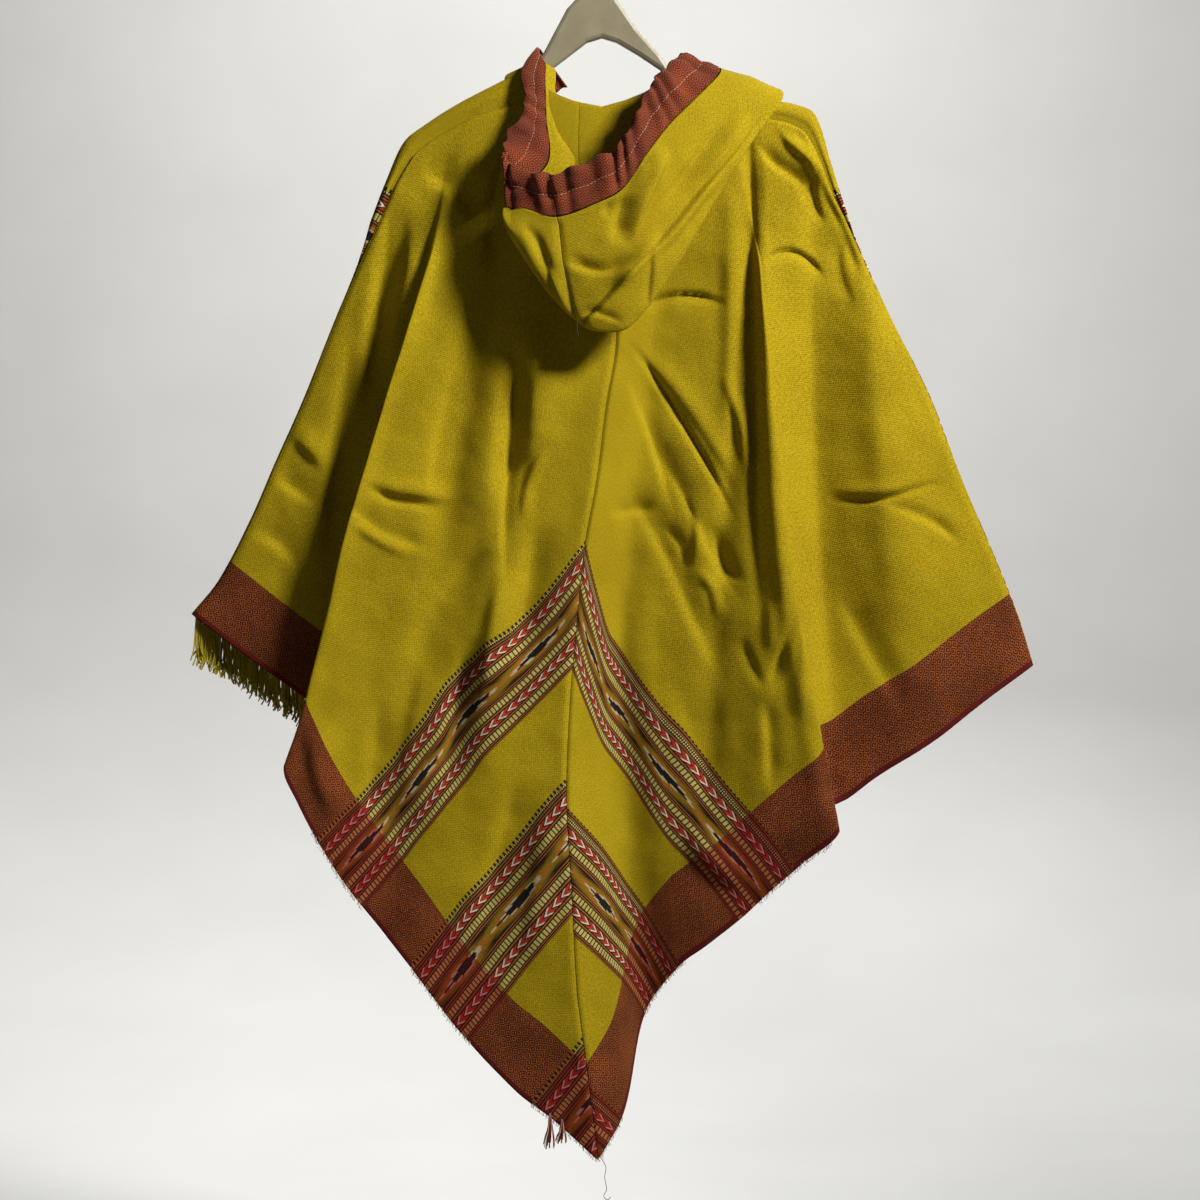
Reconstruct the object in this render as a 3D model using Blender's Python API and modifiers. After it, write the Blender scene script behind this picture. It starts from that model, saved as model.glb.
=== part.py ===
"""Hooded poncho hanging by its shoulders on a contoured hanger, seen from its back.

Frame: metres, +Z up, origin at the hook's hanging point, the back of the garment faces -Y.
The tables give places the way a maker would chalk them on the hanging garment:
across is to the right (+X), down is below the hanging point (-Z), and
proud is how far the cloth stands towards the viewer (-Y) from the hanger's middle plane.
"""
import math
from collections import namedtuple

import bmesh
import bpy
from mathutils import Vector

# Driving dimensions, in metres
CLOTH = 0.0014
SEAM_GAP = 0.0005
EDGE_GAP = 0.0010
CASING_WIDTH = 0.045
CASING_SHARE = 0.5
CASING_WALL = 0.0020
NECK_COLUMNS = 6
SHOULDER_COLUMNS = 12
SIDE_ROWS = 20
FRONT_WRAP_COLUMNS = 4
FRONT_HALF_COLUMNS = 6
FRINGE_LENGTH = 0.050
FRINGE_UNEVEN = 0.07
FRINGE_SWAY = 0.004
FRINGE_TAPER = 0.6
FRINGE_STRANDS = 46
FRINGE_HEAD = 0.006
FRINGE_WALL = 0.0022
FRINGE_END_SHARE = 0.97
FRINGE_GAP = 0.0006
HANGER_THICKNESS = 0.012
HANGER_EDGE = 0.004
HOOK_WIRE = 0.0038
HOOK_RADIUS = 0.020
HOOK_START = 200
HOOK_SWEEP = 250
HOOK_STEPS = 18
HOOK_STEM_LEAN = 0.002

# Cloth distances along a line, and the place of each chalk mark on it, in metres
Mark = namedtuple("Mark", "along across down proud")
EdgeMark = namedtuple("EdgeMark", "along across down proud fold_across fold_down")

# Centre-back seam, from the neck to the tip
BACK_SEAM = [
    Mark(0.000, 0.005, 0.210, 0.020),
    Mark(0.227, 0.019, 0.445, 0.030),
    Mark(0.304, 0.008, 0.522, 0.037),
    Mark(0.384, -0.002, 0.601, 0.043),
    Mark(0.452, -0.014, 0.667, 0.047),
    Mark(0.539, -0.023, 0.754, 0.050),
    Mark(0.626, -0.030, 0.840, 0.052),
    Mark(0.720, -0.033, 0.934, 0.055),
    Mark(0.811, -0.028, 1.025, 0.058),
    Mark(0.918, -0.022, 1.132, 0.061),
    Mark(0.990, -0.013, 1.203, 0.063),
    Mark(1.093, 0.000, 1.306, 0.065),
]

# Bordered hem of each back half, from the tip to the side corner
LEFT_HEM = [
    Mark(0.000, 0.000, 1.306, 0.065),
    Mark(0.060, -0.045, 1.266, 0.060),
    Mark(0.110, -0.085, 1.236, 0.057),
    Mark(0.197, -0.145, 1.173, 0.054),
    Mark(0.278, -0.194, 1.109, 0.053),
    Mark(0.380, -0.258, 1.029, 0.053),
    Mark(0.436, -0.288, 0.982, 0.057),
    Mark(0.489, -0.313, 0.934, 0.061),
    Mark(0.528, -0.326, 0.899, 0.064),
    Mark(0.570, -0.306, 0.872, 0.038),
    Mark(0.612, -0.279, 0.852, 0.014),
    Mark(0.657, -0.315, 0.826, 0.005),
    Mark(0.736, -0.379, 0.780, 0.004),
    Mark(0.800, -0.432, 0.740, 0.0012),
]
RIGHT_HEM = [
    Mark(0.000, 0.000, 1.306, 0.065),
    Mark(0.060, 0.027, 1.261, 0.035),
    Mark(0.165, 0.049, 1.166, 0.000),
    Mark(0.250, 0.086, 1.111, 0.010),
    Mark(0.285, 0.114, 1.089, 0.020),
    Mark(0.335, 0.151, 1.059, 0.030),
    Mark(0.372, 0.178, 1.033, 0.036),
    Mark(0.420, 0.213, 1.001, 0.044),
    Mark(0.472, 0.251, 0.967, 0.055),
    Mark(0.500, 0.240, 0.947, 0.034),
    Mark(0.530, 0.264, 0.934, 0.020),
    Mark(0.570, 0.296, 0.910, 0.020),
    Mark(0.638, 0.353, 0.874, 0.022),
    Mark(0.705, 0.406, 0.834, 0.014),
    Mark(0.775, 0.463, 0.794, 0.0012),
]

# Back neckline, from the centre seam to the corner where the front begins
LEFT_NECK = [
    Mark(0.000, 0.005, 0.210, 0.020),
    Mark(0.036, -0.029, 0.201, 0.018),
    Mark(0.071, -0.060, 0.184, 0.014),
]
RIGHT_NECK = [
    Mark(0.000, 0.005, 0.210, 0.020),
    Mark(0.036, 0.039, 0.199, 0.018),
    Mark(0.074, 0.072, 0.180, 0.014),
]

# Seam of back and front, from the neck over the shoulder and down the side to the hem corner,
# with the line where the front's cloth turns over on to the back
LEFT_EDGE = [
    EdgeMark(0.000, -0.060, 0.184, 0.014, -0.073, 0.157),
    EdgeMark(0.032, -0.088, 0.198, 0.013, -0.094, 0.169),
    EdgeMark(0.089, -0.139, 0.217, 0.012, -0.148, 0.197),
    EdgeMark(0.135, -0.178, 0.239, 0.012, -0.184, 0.220),
    EdgeMark(0.161, -0.196, 0.256, 0.012, -0.206, 0.238),
    EdgeMark(0.197, -0.215, 0.285, 0.011, -0.224, 0.277),
    EdgeMark(0.232, -0.229, 0.317, 0.010, -0.238, 0.313),
    EdgeMark(0.273, -0.247, 0.354, 0.007, -0.252, 0.352),
    EdgeMark(0.304, -0.260, 0.383, 0.0045, -0.262, 0.382),
    EdgeMark(0.348, -0.278, 0.424, 0.0016, -0.278, 0.424),
    EdgeMark(0.445, -0.314, 0.514, 0.0012, -0.314, 0.514),
    EdgeMark(0.516, -0.343, 0.579, 0.0012, -0.343, 0.579),
    EdgeMark(0.582, -0.369, 0.639, 0.0012, -0.369, 0.639),
    EdgeMark(0.655, -0.403, 0.704, 0.0012, -0.403, 0.704),
    EdgeMark(0.701, -0.432, 0.740, 0.0012, -0.432, 0.740),
]
RIGHT_EDGE = [
    EdgeMark(0.000, 0.072, 0.180, 0.014, 0.085, 0.163),
    EdgeMark(0.060, 0.128, 0.197, 0.013, 0.135, 0.177),
    EdgeMark(0.114, 0.178, 0.214, 0.012, 0.186, 0.193),
    EdgeMark(0.139, 0.202, 0.220, 0.012, 0.209, 0.198),
    EdgeMark(0.159, 0.219, 0.230, 0.012, 0.230, 0.208),
    EdgeMark(0.194, 0.236, 0.260, 0.011, 0.246, 0.256),
    EdgeMark(0.230, 0.248, 0.292, 0.010, 0.257, 0.292),
    EdgeMark(0.259, 0.261, 0.318, 0.008, 0.267, 0.318),
    EdgeMark(0.295, 0.276, 0.350, 0.0045, 0.279, 0.350),
    EdgeMark(0.377, 0.311, 0.425, 0.0016, 0.311, 0.425),
    EdgeMark(0.469, 0.352, 0.507, 0.0012, 0.352, 0.507),
    EdgeMark(0.561, 0.385, 0.593, 0.0012, 0.385, 0.593),
    EdgeMark(0.661, 0.424, 0.685, 0.0012, 0.424, 0.685),
    EdgeMark(0.727, 0.448, 0.746, 0.0012, 0.448, 0.746),
    EdgeMark(0.777, 0.463, 0.794, 0.0012, 0.463, 0.794),
]
LEFT_SHOULDER_LENGTH = 0.161
RIGHT_SHOULDER_LENGTH = 0.159

# Largest folds of the back. A fold runs from top_t on the shoulder line to hem_t on the hem,
# as shares of those lines from the centre seam, between the heights start and end (0 top, 1 hem)
Fold = namedtuple("Fold", "name top_t hem_t start end width lift")
LEFT_FOLDS = [
    Fold("ridge from the shoulder corner", 0.73, 0.650, 0.06, 0.80, 0.050, 0.010),
    Fold("hollow beside the hood", 0.46, 0.34, 0.06, 0.62, 0.060, -0.012),
    Fold("roll beside the seam", 0.30, 0.16, 0.12, 0.80, 0.070, 0.008),
    Fold("hollow of the flap", 0.88, 0.80, 0.10, 0.90, 0.045, -0.005),
    Fold("band wave", 0.30, 0.42, 0.55, 1.20, 0.045, -0.007),
]
RIGHT_FOLDS = [
    Fold("crease from the shoulder", 0.78, 0.49, 0.06, 0.92, 0.034, -0.017),
    Fold("broad ridge", 0.87, 0.585, 0.10, 0.98, 0.050, 0.017),
    Fold("valley beside the ridge", 0.95, 0.68, 0.18, 0.98, 0.042, -0.013),
    Fold("side ridge", 1.00, 0.82, 0.25, 1.20, 0.060, 0.010),
    Fold("slanting crease from the hood", -0.45, 1.65, 0.20, 0.47, 0.040, -0.007),
    Fold("hem wave", 0.20, 0.33, 0.45, 1.20, 0.060, 0.006),
]

# Front panel: centre line from the neck to the point of its hem
FRONT_NECK = Mark(0.0, 0.002, 0.208, -0.018)
FRONT_POINT = Mark(0.0, 0.000, 1.003, -0.030)
FRONT_RIGHT_EDGE_END = 0.732
FRONT_EDGE_DEPTH = 0.0012
FRONT_OPEN_DEPTH = 0.008
FRONT_TURN = 0.030
FRONT_SLACK = 0.001
FRONT_DEPTH = 0.013
FRONT_DEPTH_GAIN = 0.003
FRONT_WAVE = 0.007
FRONT_WAVES = 3.0

# Hood: at each station round the opening, the free edge of the casing, the outer fold of the
# pouch and the layer under it, each as across, down and proud, and the place on the neckline,
# where 0 is the centre of the back, 1 the corner with the front, and 2 the centre of the front,
# and how deep the seam allowance rolls there
HoodStation = namedtuple("HoodStation", "rim fold under neck roll")
HOOD = [
    HoodStation((-0.034, 0.172, -0.026), (-0.070, 0.194, -0.032), (-0.058, 0.194, -0.024), -1.85, 0.0025),
    HoodStation((-0.057, 0.142, -0.018), (-0.106, 0.172, -0.030), (-0.089, 0.174, -0.018), -1.38, 0.0025),
    HoodStation((-0.062, 0.137, 0.001), (-0.113, 0.165, 0.004), (-0.091, 0.165, 0.003), -1.18, 0.0025),
    HoodStation((-0.069, 0.190, 0.036), (-0.114, 0.213, 0.038), (-0.090, 0.206, 0.024), -0.98, 0.0025),
    HoodStation((-0.092, 0.248, 0.073), (-0.099, 0.318, 0.060), (-0.076, 0.308, 0.040), -0.85, 0.004),
    HoodStation((-0.087, 0.276, 0.076), (-0.066, 0.385, 0.072), (-0.048, 0.365, 0.044), -0.60, 0.005),
    HoodStation((-0.051, 0.286, 0.086), (-0.022, 0.436, 0.076), (-0.014, 0.400, 0.046), -0.33, 0.005),
    HoodStation((-0.005, 0.271, 0.088), (0.014, 0.447, 0.076), (0.012, 0.405, 0.046), 0.00, 0.005),
    HoodStation((0.022, 0.255, 0.086), (0.040, 0.434, 0.072), (0.034, 0.395, 0.045), 0.30, 0.005),
    HoodStation((0.043, 0.217, 0.078), (0.078, 0.382, 0.064), (0.062, 0.350, 0.043), 0.58, 0.005),
    HoodStation((0.057, 0.188, 0.066), (0.118, 0.313, 0.054), (0.095, 0.290, 0.038), 0.78, 0.005),
    HoodStation((0.075, 0.164, 0.046), (0.158, 0.248, 0.042), (0.125, 0.235, 0.030), 0.93, 0.005),
    HoodStation((0.088, 0.150, 0.022), (0.192, 0.200, 0.028), (0.150, 0.196, 0.022), 1.05, 0.005),
    HoodStation((0.086, 0.144, 0.000), (0.192, 0.183, 0.003), (0.148, 0.175, 0.003), 1.18, 0.005),
    HoodStation((0.080, 0.150, -0.017), (0.178, 0.190, -0.022), (0.138, 0.184, -0.020), 1.38, 0.005),
    HoodStation((0.060, 0.166, -0.027), (0.130, 0.206, -0.033), (0.104, 0.202, -0.025), 1.58, 0.005),
    HoodStation((0.026, 0.184, -0.029), (0.066, 0.216, -0.035), (0.052, 0.214, -0.027), 1.85, 0.005),
]
HOOD_SEAM_STATION = 6
HOOD_BELLY = 0.25
HOOD_ROLL = 0.004
HOOD_BEHIND_SHARE = 0.25
HOOD_COLUMNS_PER_STATION = 2
HOOD_ROWS = (2, 3, 3, 3, 3, 2)
HOOD_NECK_GAP = 0.0009
CASING_GAP = 0.0022
CASING_ROWS = (2,)

# Hanger body outline from the left arm's end to the right arm's: across, upper edge, lower edge
HangerStation = namedtuple("HangerStation", "across top bottom")
HANGER = [
    HangerStation(-0.202, 0.2440, 0.254),
    HangerStation(-0.184, 0.2245, 0.244),
    HangerStation(-0.148, 0.2010, 0.222),
    HangerStation(-0.092, 0.1775, 0.192),
    HangerStation(-0.070, 0.1620, 0.177),
    HangerStation(-0.058, 0.1430, 0.167),
    HangerStation(-0.033, 0.0960, 0.148),
    HangerStation(-0.012, 0.0740, 0.132),
    HangerStation(0.004, 0.0720, 0.127),
    HangerStation(0.020, 0.0860, 0.132),
    HangerStation(0.042, 0.1180, 0.145),
    HangerStation(0.066, 0.1450, 0.161),
    HangerStation(0.082, 0.1680, 0.182),
    HangerStation(0.135, 0.1810, 0.199),
    HangerStation(0.186, 0.1970, 0.216),
    HangerStation(0.208, 0.2030, 0.220),
    HangerStation(0.226, 0.2140, 0.223),
]
HANGER_ARCH_STATION = 8

# Colours of the plain pieces
OLIVE = (0.36, 0.27, 0.012)
OLIVE_FRINGE = (0.34, 0.26, 0.02)
BRICK = (0.19, 0.035, 0.012)
TAUPE = (0.30, 0.26, 0.17)
STEEL = (0.56, 0.56, 0.55)


def clear_scene():
    for old in list(bpy.data.objects):
        bpy.data.objects.remove(old, do_unlink=True)


def new_collection(name):
    collection = bpy.data.collections.new(name)
    bpy.context.scene.collection.children.link(collection)
    return collection


def finish_material(name, colour, roughness, metallic=0.0):
    material = bpy.data.materials.new(name)
    material.use_nodes = True
    shader = material.node_tree.nodes["Principled BSDF"]
    shader.inputs["Base Color"].default_value = (*colour, 1.0)
    shader.inputs["Roughness"].default_value = roughness
    shader.inputs["Metallic"].default_value = metallic
    return material


def place(across, down, proud):
    return Vector((across, -proud, -down))


def smooth_value(keys, values, key):
    """Curve through the values, with the slope at each mark taken from its neighbours."""
    last = len(keys) - 1
    key = min(max(key, keys[0]), keys[last])
    i = 0
    while i < last - 1 and key > keys[i + 1]:
        i += 1

    def slope(j):
        low, high = max(j - 1, 0), min(j + 1, last)
        return (values[high] - values[low]) / (keys[high] - keys[low])

    span = keys[i + 1] - keys[i]
    u = (key - keys[i]) / span
    start, end = slope(i) * span, slope(i + 1) * span
    return ((2 * u**3 - 3 * u**2 + 1) * values[i] + (u**3 - 2 * u**2 + u) * start
            + (3 * u**2 - 2 * u**3) * values[i + 1] + (u**3 - u**2) * end)


def along_marks(marks, distance):
    keys = [mark.along for mark in marks]
    return place(*(smooth_value(keys, [getattr(mark, column) for mark in marks], distance)
                   for column in ("across", "down", "proud")))


def fold_line(marks, distance):
    keys = [mark.along for mark in marks]
    across = smooth_value(keys, [mark.fold_across for mark in marks], distance)
    down = smooth_value(keys, [mark.fold_down for mark in marks], distance)
    return place(across, down, 0.0)


def smoothstep(low, high, value):
    u = min(max((value - low) / (high - low), 0.0), 1.0)
    return u * u * (3 - 2 * u)


Half = namedtuple("Half", "sign hem neck edge shoulder folds")
LEFT = Half(-1, LEFT_HEM, LEFT_NECK, LEFT_EDGE, LEFT_SHOULDER_LENGTH, LEFT_FOLDS)
RIGHT = Half(1, RIGHT_HEM, RIGHT_NECK, RIGHT_EDGE, RIGHT_SHOULDER_LENGTH, RIGHT_FOLDS)


def neck_share(half):
    neck_length = half.neck[-1].along
    return neck_length / (neck_length + half.shoulder)


def top_point(half, t):
    share = neck_share(half)
    if t <= share:
        return along_marks(half.neck, half.neck[-1].along * t / share)
    return along_marks(half.edge, half.shoulder * (t - share) / (1 - share))


def side_point(half, w):
    return along_marks(half.edge, half.shoulder + (half.edge[-1].along - half.shoulder) * w)


def seam_point(w):
    return along_marks(BACK_SEAM, BACK_SEAM[-1].along * w)


def hem_point(half, t):
    return along_marks(half.hem, half.hem[-1].along * t)


def fold_lift(half, t, w):
    """Depth that the folds add, fading to nothing at the seams and the shoulder line."""
    lift = 0.0
    for fold in half.folds:
        middle = fold.top_t + (fold.hem_t - fold.top_t) * w
        across = math.exp(-((t - middle) / fold.width) ** 2)
        rise = smoothstep(fold.start, fold.start + 0.18, w)
        fall = 1 - smoothstep(fold.end - 0.18, fold.end, w)
        lift += fold.lift * across * rise * fall
    seam_fade = smoothstep(0.0, 0.07, t) * (1 - smoothstep(0.93, 1.0, t))
    return lift * seam_fade * smoothstep(0.0, 0.08, w)


def back_point(half, t, w):
    """Point of a back half, t from the centre seam to the side and w from the top to the hem."""
    blend = (top_point(half, t) * (1 - w) + hem_point(half, t) * w
             + seam_point(w) * (1 - t) + side_point(half, w) * t)
    corners = ((top_point(half, 0) * (1 - t) + top_point(half, 1) * t) * (1 - w)
               + (hem_point(half, 0) * (1 - t) + hem_point(half, 1) * t) * w)
    point = blend - corners
    point.y -= fold_lift(half, t, w)
    return point


def front_half_point(half, edge_end, row, q):
    """Point of the front, q from the seam with the back (0) over the fold line to the centre (1)."""
    distance = edge_end * row
    start = along_marks(half.edge, distance)
    turn = fold_line(half.edge, distance)
    centre = place(FRONT_NECK.across, FRONT_NECK.down, FRONT_NECK.proud).lerp(
        place(FRONT_POINT.across, FRONT_POINT.down, FRONT_POINT.proud), row)
    seam_depth = -start.y
    over = max(min((seam_depth - FRONT_EDGE_DEPTH) / FRONT_OPEN_DEPTH, 1.0), 0.0)
    first = seam_depth * over - FRONT_EDGE_DEPTH * (1 - over)
    last = -(FRONT_DEPTH + FRONT_DEPTH_GAIN * row)
    inward = Vector((centre.x - start.x, 0.0, centre.z - start.z)).normalized()
    outward = Vector((turn.x - start.x, 0.0, turn.z - start.z))
    wrap_share = FRONT_WRAP_COLUMNS / (FRONT_WRAP_COLUMNS + FRONT_HALF_COLUMNS)
    angle = math.pi * min(q / wrap_share, 1.0)
    shift = (FRONT_TURN * (1 - over) + FRONT_SLACK) * (1 - math.cos(angle)) / 2
    point = Vector((start.x, 0.0, start.z)) + outward * math.sin(angle) + inward * shift
    point -= inward * EDGE_GAP * (1 + math.cos(angle)) / 2
    point.y = -((first + last) / 2 + (first - last) / 2 * math.cos(angle))
    if q <= wrap_share:
        return point
    u = (q - wrap_share) / (1 - wrap_share)
    inner = point.lerp(centre, u)
    wave = math.sin(math.pi * u) * math.sin(2 * math.pi * FRONT_WAVES * u)
    inner.y += FRONT_WAVE * wave * smoothstep(0.15, 0.8, row)
    return inner


def cloth_from_grid(name, columns, rows, point_at, wall, material, collection):
    """A flat grid bent to point_at(column share, row share) and given its wall with Solidify."""
    bm = bmesh.new()
    bmesh.ops.create_grid(bm, x_segments=columns, y_segments=rows, size=1.0)
    for vert in bm.verts:
        vert.co = point_at((vert.co.x + 1) / 2, (vert.co.y + 1) / 2)
    bmesh.ops.triangulate(bm, faces=bm.faces, quad_method="SHORT_EDGE")
    mesh = bpy.data.meshes.new(name)
    bm.to_mesh(mesh)
    bm.free()
    mesh.shade_smooth()
    piece = bpy.data.objects.new(name, mesh)
    collection.objects.link(piece)
    piece.data.materials.append(material)
    shell = piece.modifiers.new("wall", "SOLIDIFY")
    shell.thickness = wall
    shell.offset = 0.0
    shell.use_quality_normals = True
    return piece


def back_half(name, half, material, collection):
    columns = NECK_COLUMNS + SHOULDER_COLUMNS
    share = neck_share(half)

    def point_at(column_share, row_share):
        column = column_share * columns
        if column <= NECK_COLUMNS:
            t = share * column / NECK_COLUMNS
        else:
            t = share + (1 - share) * (column - NECK_COLUMNS) / SHOULDER_COLUMNS
        point = back_point(half, t, row_share)
        point.x += half.sign * SEAM_GAP * (1 - t)
        return point

    return cloth_from_grid(name, columns, SIDE_ROWS, point_at, CLOTH, material, collection)


def front_row_share(row_share):
    """The front's rows meet the back's shoulder columns and then its side rows."""
    rows = SHOULDER_COLUMNS + SIDE_ROWS
    row = row_share * rows
    shoulder = LEFT_SHOULDER_LENGTH / LEFT_EDGE[-1].along
    if row <= SHOULDER_COLUMNS:
        return shoulder * row / SHOULDER_COLUMNS
    return shoulder + (1 - shoulder) * (row - SHOULDER_COLUMNS) / SIDE_ROWS


def front_point(column_share, row_share):
    row = front_row_share(row_share)
    if column_share <= 0.5:
        return front_half_point(LEFT, LEFT_EDGE[-1].along, row, column_share * 2)
    shoulder = LEFT_SHOULDER_LENGTH / LEFT_EDGE[-1].along
    if row <= shoulder:
        right_row = RIGHT_SHOULDER_LENGTH / FRONT_RIGHT_EDGE_END * row / shoulder
    else:
        right_shoulder = RIGHT_SHOULDER_LENGTH / FRONT_RIGHT_EDGE_END
        right_row = right_shoulder + (1 - right_shoulder) * (row - shoulder) / (1 - shoulder)
    return front_half_point(RIGHT, FRONT_RIGHT_EDGE_END, right_row, (1 - column_share) * 2)


def front_panel(name, material, collection):
    columns = 2 * (FRONT_WRAP_COLUMNS + FRONT_HALF_COLUMNS)
    rows = SHOULDER_COLUMNS + SIDE_ROWS
    return cloth_from_grid(name, columns, rows, front_point, CLOTH, material, collection)


def neck_ring(place_on_neck):
    """Point of the neckline and the way the panel runs from it."""
    half = RIGHT if place_on_neck > 0 else LEFT
    size = abs(place_on_neck)
    step = 0.03
    if size <= 1.0:
        t = neck_share(half) * size
        return back_point(half, t, 0.0), back_point(half, t, step)
    edge_end = FRONT_RIGHT_EDGE_END if half is RIGHT else LEFT_EDGE[-1].along
    q = size - 1.0
    return front_half_point(half, edge_end, 0.0, q), front_half_point(half, edge_end, step, q)


def hood_profile(position):
    """Knots across the pouch, from the casing's edge round the fold and up to the neck seam."""
    keys = list(range(len(HOOD)))
    rim, fold, under = (
        place(*(smooth_value(keys, [getattr(station, name)[axis] for station in HOOD], position)
                for axis in range(3)))
        for name in ("rim", "fold", "under"))
    neck_place = smooth_value(keys, [station.neck for station in HOOD], position)
    ring, panel = neck_ring(neck_place)
    away = (ring - panel).normalized()
    downward = fold - rim
    width = min(CASING_WIDTH, downward.length * CASING_SHARE)
    downward.normalize()
    casing_seam = rim + downward * width
    near = casing_seam.lerp(fold, 0.5)
    outward = near - under
    outward -= downward * outward.dot(downward)
    belly = near + outward * HOOD_BELLY
    roll_depth = smooth_value(keys, [station.roll for station in HOOD], position)
    outward.normalize()
    neck = ring + away * HOOD_NECK_GAP
    roll = neck + away * HOOD_ROLL + outward * roll_depth
    behind = neck.lerp(under, HOOD_BEHIND_SHARE) + outward * roll_depth * 2
    return [rim, casing_seam, belly, fold, under, behind, roll, neck]


def profile_point(knots, first, rows, share):
    """Point of the profile, with the given number of rows between each pair of knots."""
    keys = [0.0]
    for here, there in zip(knots, knots[1:]):
        keys.append(keys[-1] + (there - here).length)
    row = share * sum(rows)
    segment = 0
    while segment < len(rows) - 1 and row > rows[segment]:
        row -= rows[segment]
        segment += 1
    here, there = keys[first + segment], keys[first + segment + 1]
    position = here + (there - here) * row / rows[segment]
    return Vector([smooth_value(keys, [knot[axis] for knot in knots], position) for axis in range(3)])


def hood_piece(name, start, end, first_knot, rows, wall, material, collection):
    """A strip of the hood between two stations, from one knot of the profile on."""
    columns = (end - start) * HOOD_COLUMNS_PER_STATION
    middle = start if start == HOOD_SEAM_STATION else end

    def point_at(column_share, row_share):
        position = start + (end - start) * column_share
        knots = hood_profile(position)
        point = profile_point(knots, first_knot, rows, row_share)
        if position == middle:
            step = hood_profile(position + (0.01 if middle == start else -0.01))
            along = profile_point(step, first_knot, rows, row_share) - point
            point += along.normalized() * SEAM_GAP
        if row_share == 1.0 and first_knot == 0:
            point += (knots[0] - point).normalized() * CASING_GAP
        return point

    return cloth_from_grid(name, columns, sum(rows), point_at, wall, material, collection)


def hanger_body(material, collection):
    """Two curved arms and the arch between them, cut from one thick outline and rounded."""
    curve = bpy.data.curves.new("hanger", "CURVE")
    curve.dimensions = "2D"
    curve.fill_mode = "BOTH"
    curve.extrude = HANGER_THICKNESS / 2 - HANGER_EDGE
    curve.bevel_depth = HANGER_EDGE
    curve.bevel_resolution = 1
    curve.offset = -HANGER_EDGE
    outline = curve.splines.new("POLY")
    upper = [(station.across, -station.top) for station in HANGER]
    lower = [(station.across, -station.bottom) for station in reversed(HANGER)]
    corners = upper + lower
    outline.points.add(len(corners) - 1)
    for point, (x, z) in zip(outline.points, corners):
        point.co = (x, z, 0.0, 1.0)
    outline.use_cyclic_u = True
    guide = bpy.data.objects.new("hanger_outline", curve)
    guide.rotation_euler = (math.pi / 2, 0.0, 0.0)
    collection.objects.link(guide)
    bpy.context.view_layer.update()
    evaluated = guide.evaluated_get(bpy.context.evaluated_depsgraph_get())
    mesh = bpy.data.meshes.new_from_object(evaluated)
    bm = bmesh.new()
    bm.from_mesh(mesh)
    bmesh.ops.remove_doubles(bm, verts=bm.verts, dist=0.00002)
    bm.to_mesh(mesh)
    bm.free()
    body = bpy.data.objects.new("hanger", mesh)
    body.matrix_world = guide.matrix_world
    bpy.data.objects.remove(guide)
    body.data.materials.clear()
    body.data.materials.append(material)
    collection.objects.link(body)
    return body


def hanger_hook(material, collection):
    """Bent wire: round over the rail, then down into the arch of the hanger."""
    centreline = HOOK_RADIUS + HOOK_WIRE / 2
    stem_top = -HOOK_RADIUS - centreline * 1.15
    stem_foot = -(HANGER[HANGER_ARCH_STATION].top - SEAM_GAP)
    points = []
    for step in range(HOOK_STEPS + 1):
        angle = math.radians(HOOK_START - HOOK_SWEEP * step / HOOK_STEPS)
        points.append((centreline * math.cos(angle), 0.0, -HOOK_RADIUS + centreline * math.sin(angle)))
    points.append((2 * HOOK_STEM_LEAN, 0.0, stem_top))
    points.append((HOOK_STEM_LEAN, 0.0, stem_foot))
    wire = bpy.data.curves.new("hanger_hook", "CURVE")
    wire.dimensions = "3D"
    wire.bevel_depth = HOOK_WIRE / 2
    wire.bevel_resolution = 2
    wire.use_fill_caps = True
    spline = wire.splines.new("POLY")
    spline.points.add(len(points) - 1)
    for point, co in zip(spline.points, points):
        point.co = (*co, 1.0)
    hook = bpy.data.objects.new("hanger_hook", wire)
    hook.data.materials.append(material)
    collection.objects.link(hook)
    return hook


def polyline_point(points, share):
    lengths = [(there - here).length for here, there in zip(points, points[1:])]
    distance = share * sum(lengths)
    index = 0
    while index < len(lengths) - 1 and distance > lengths[index]:
        distance -= lengths[index]
        index += 1
    return points[index].lerp(points[index + 1], distance / lengths[index])


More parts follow.
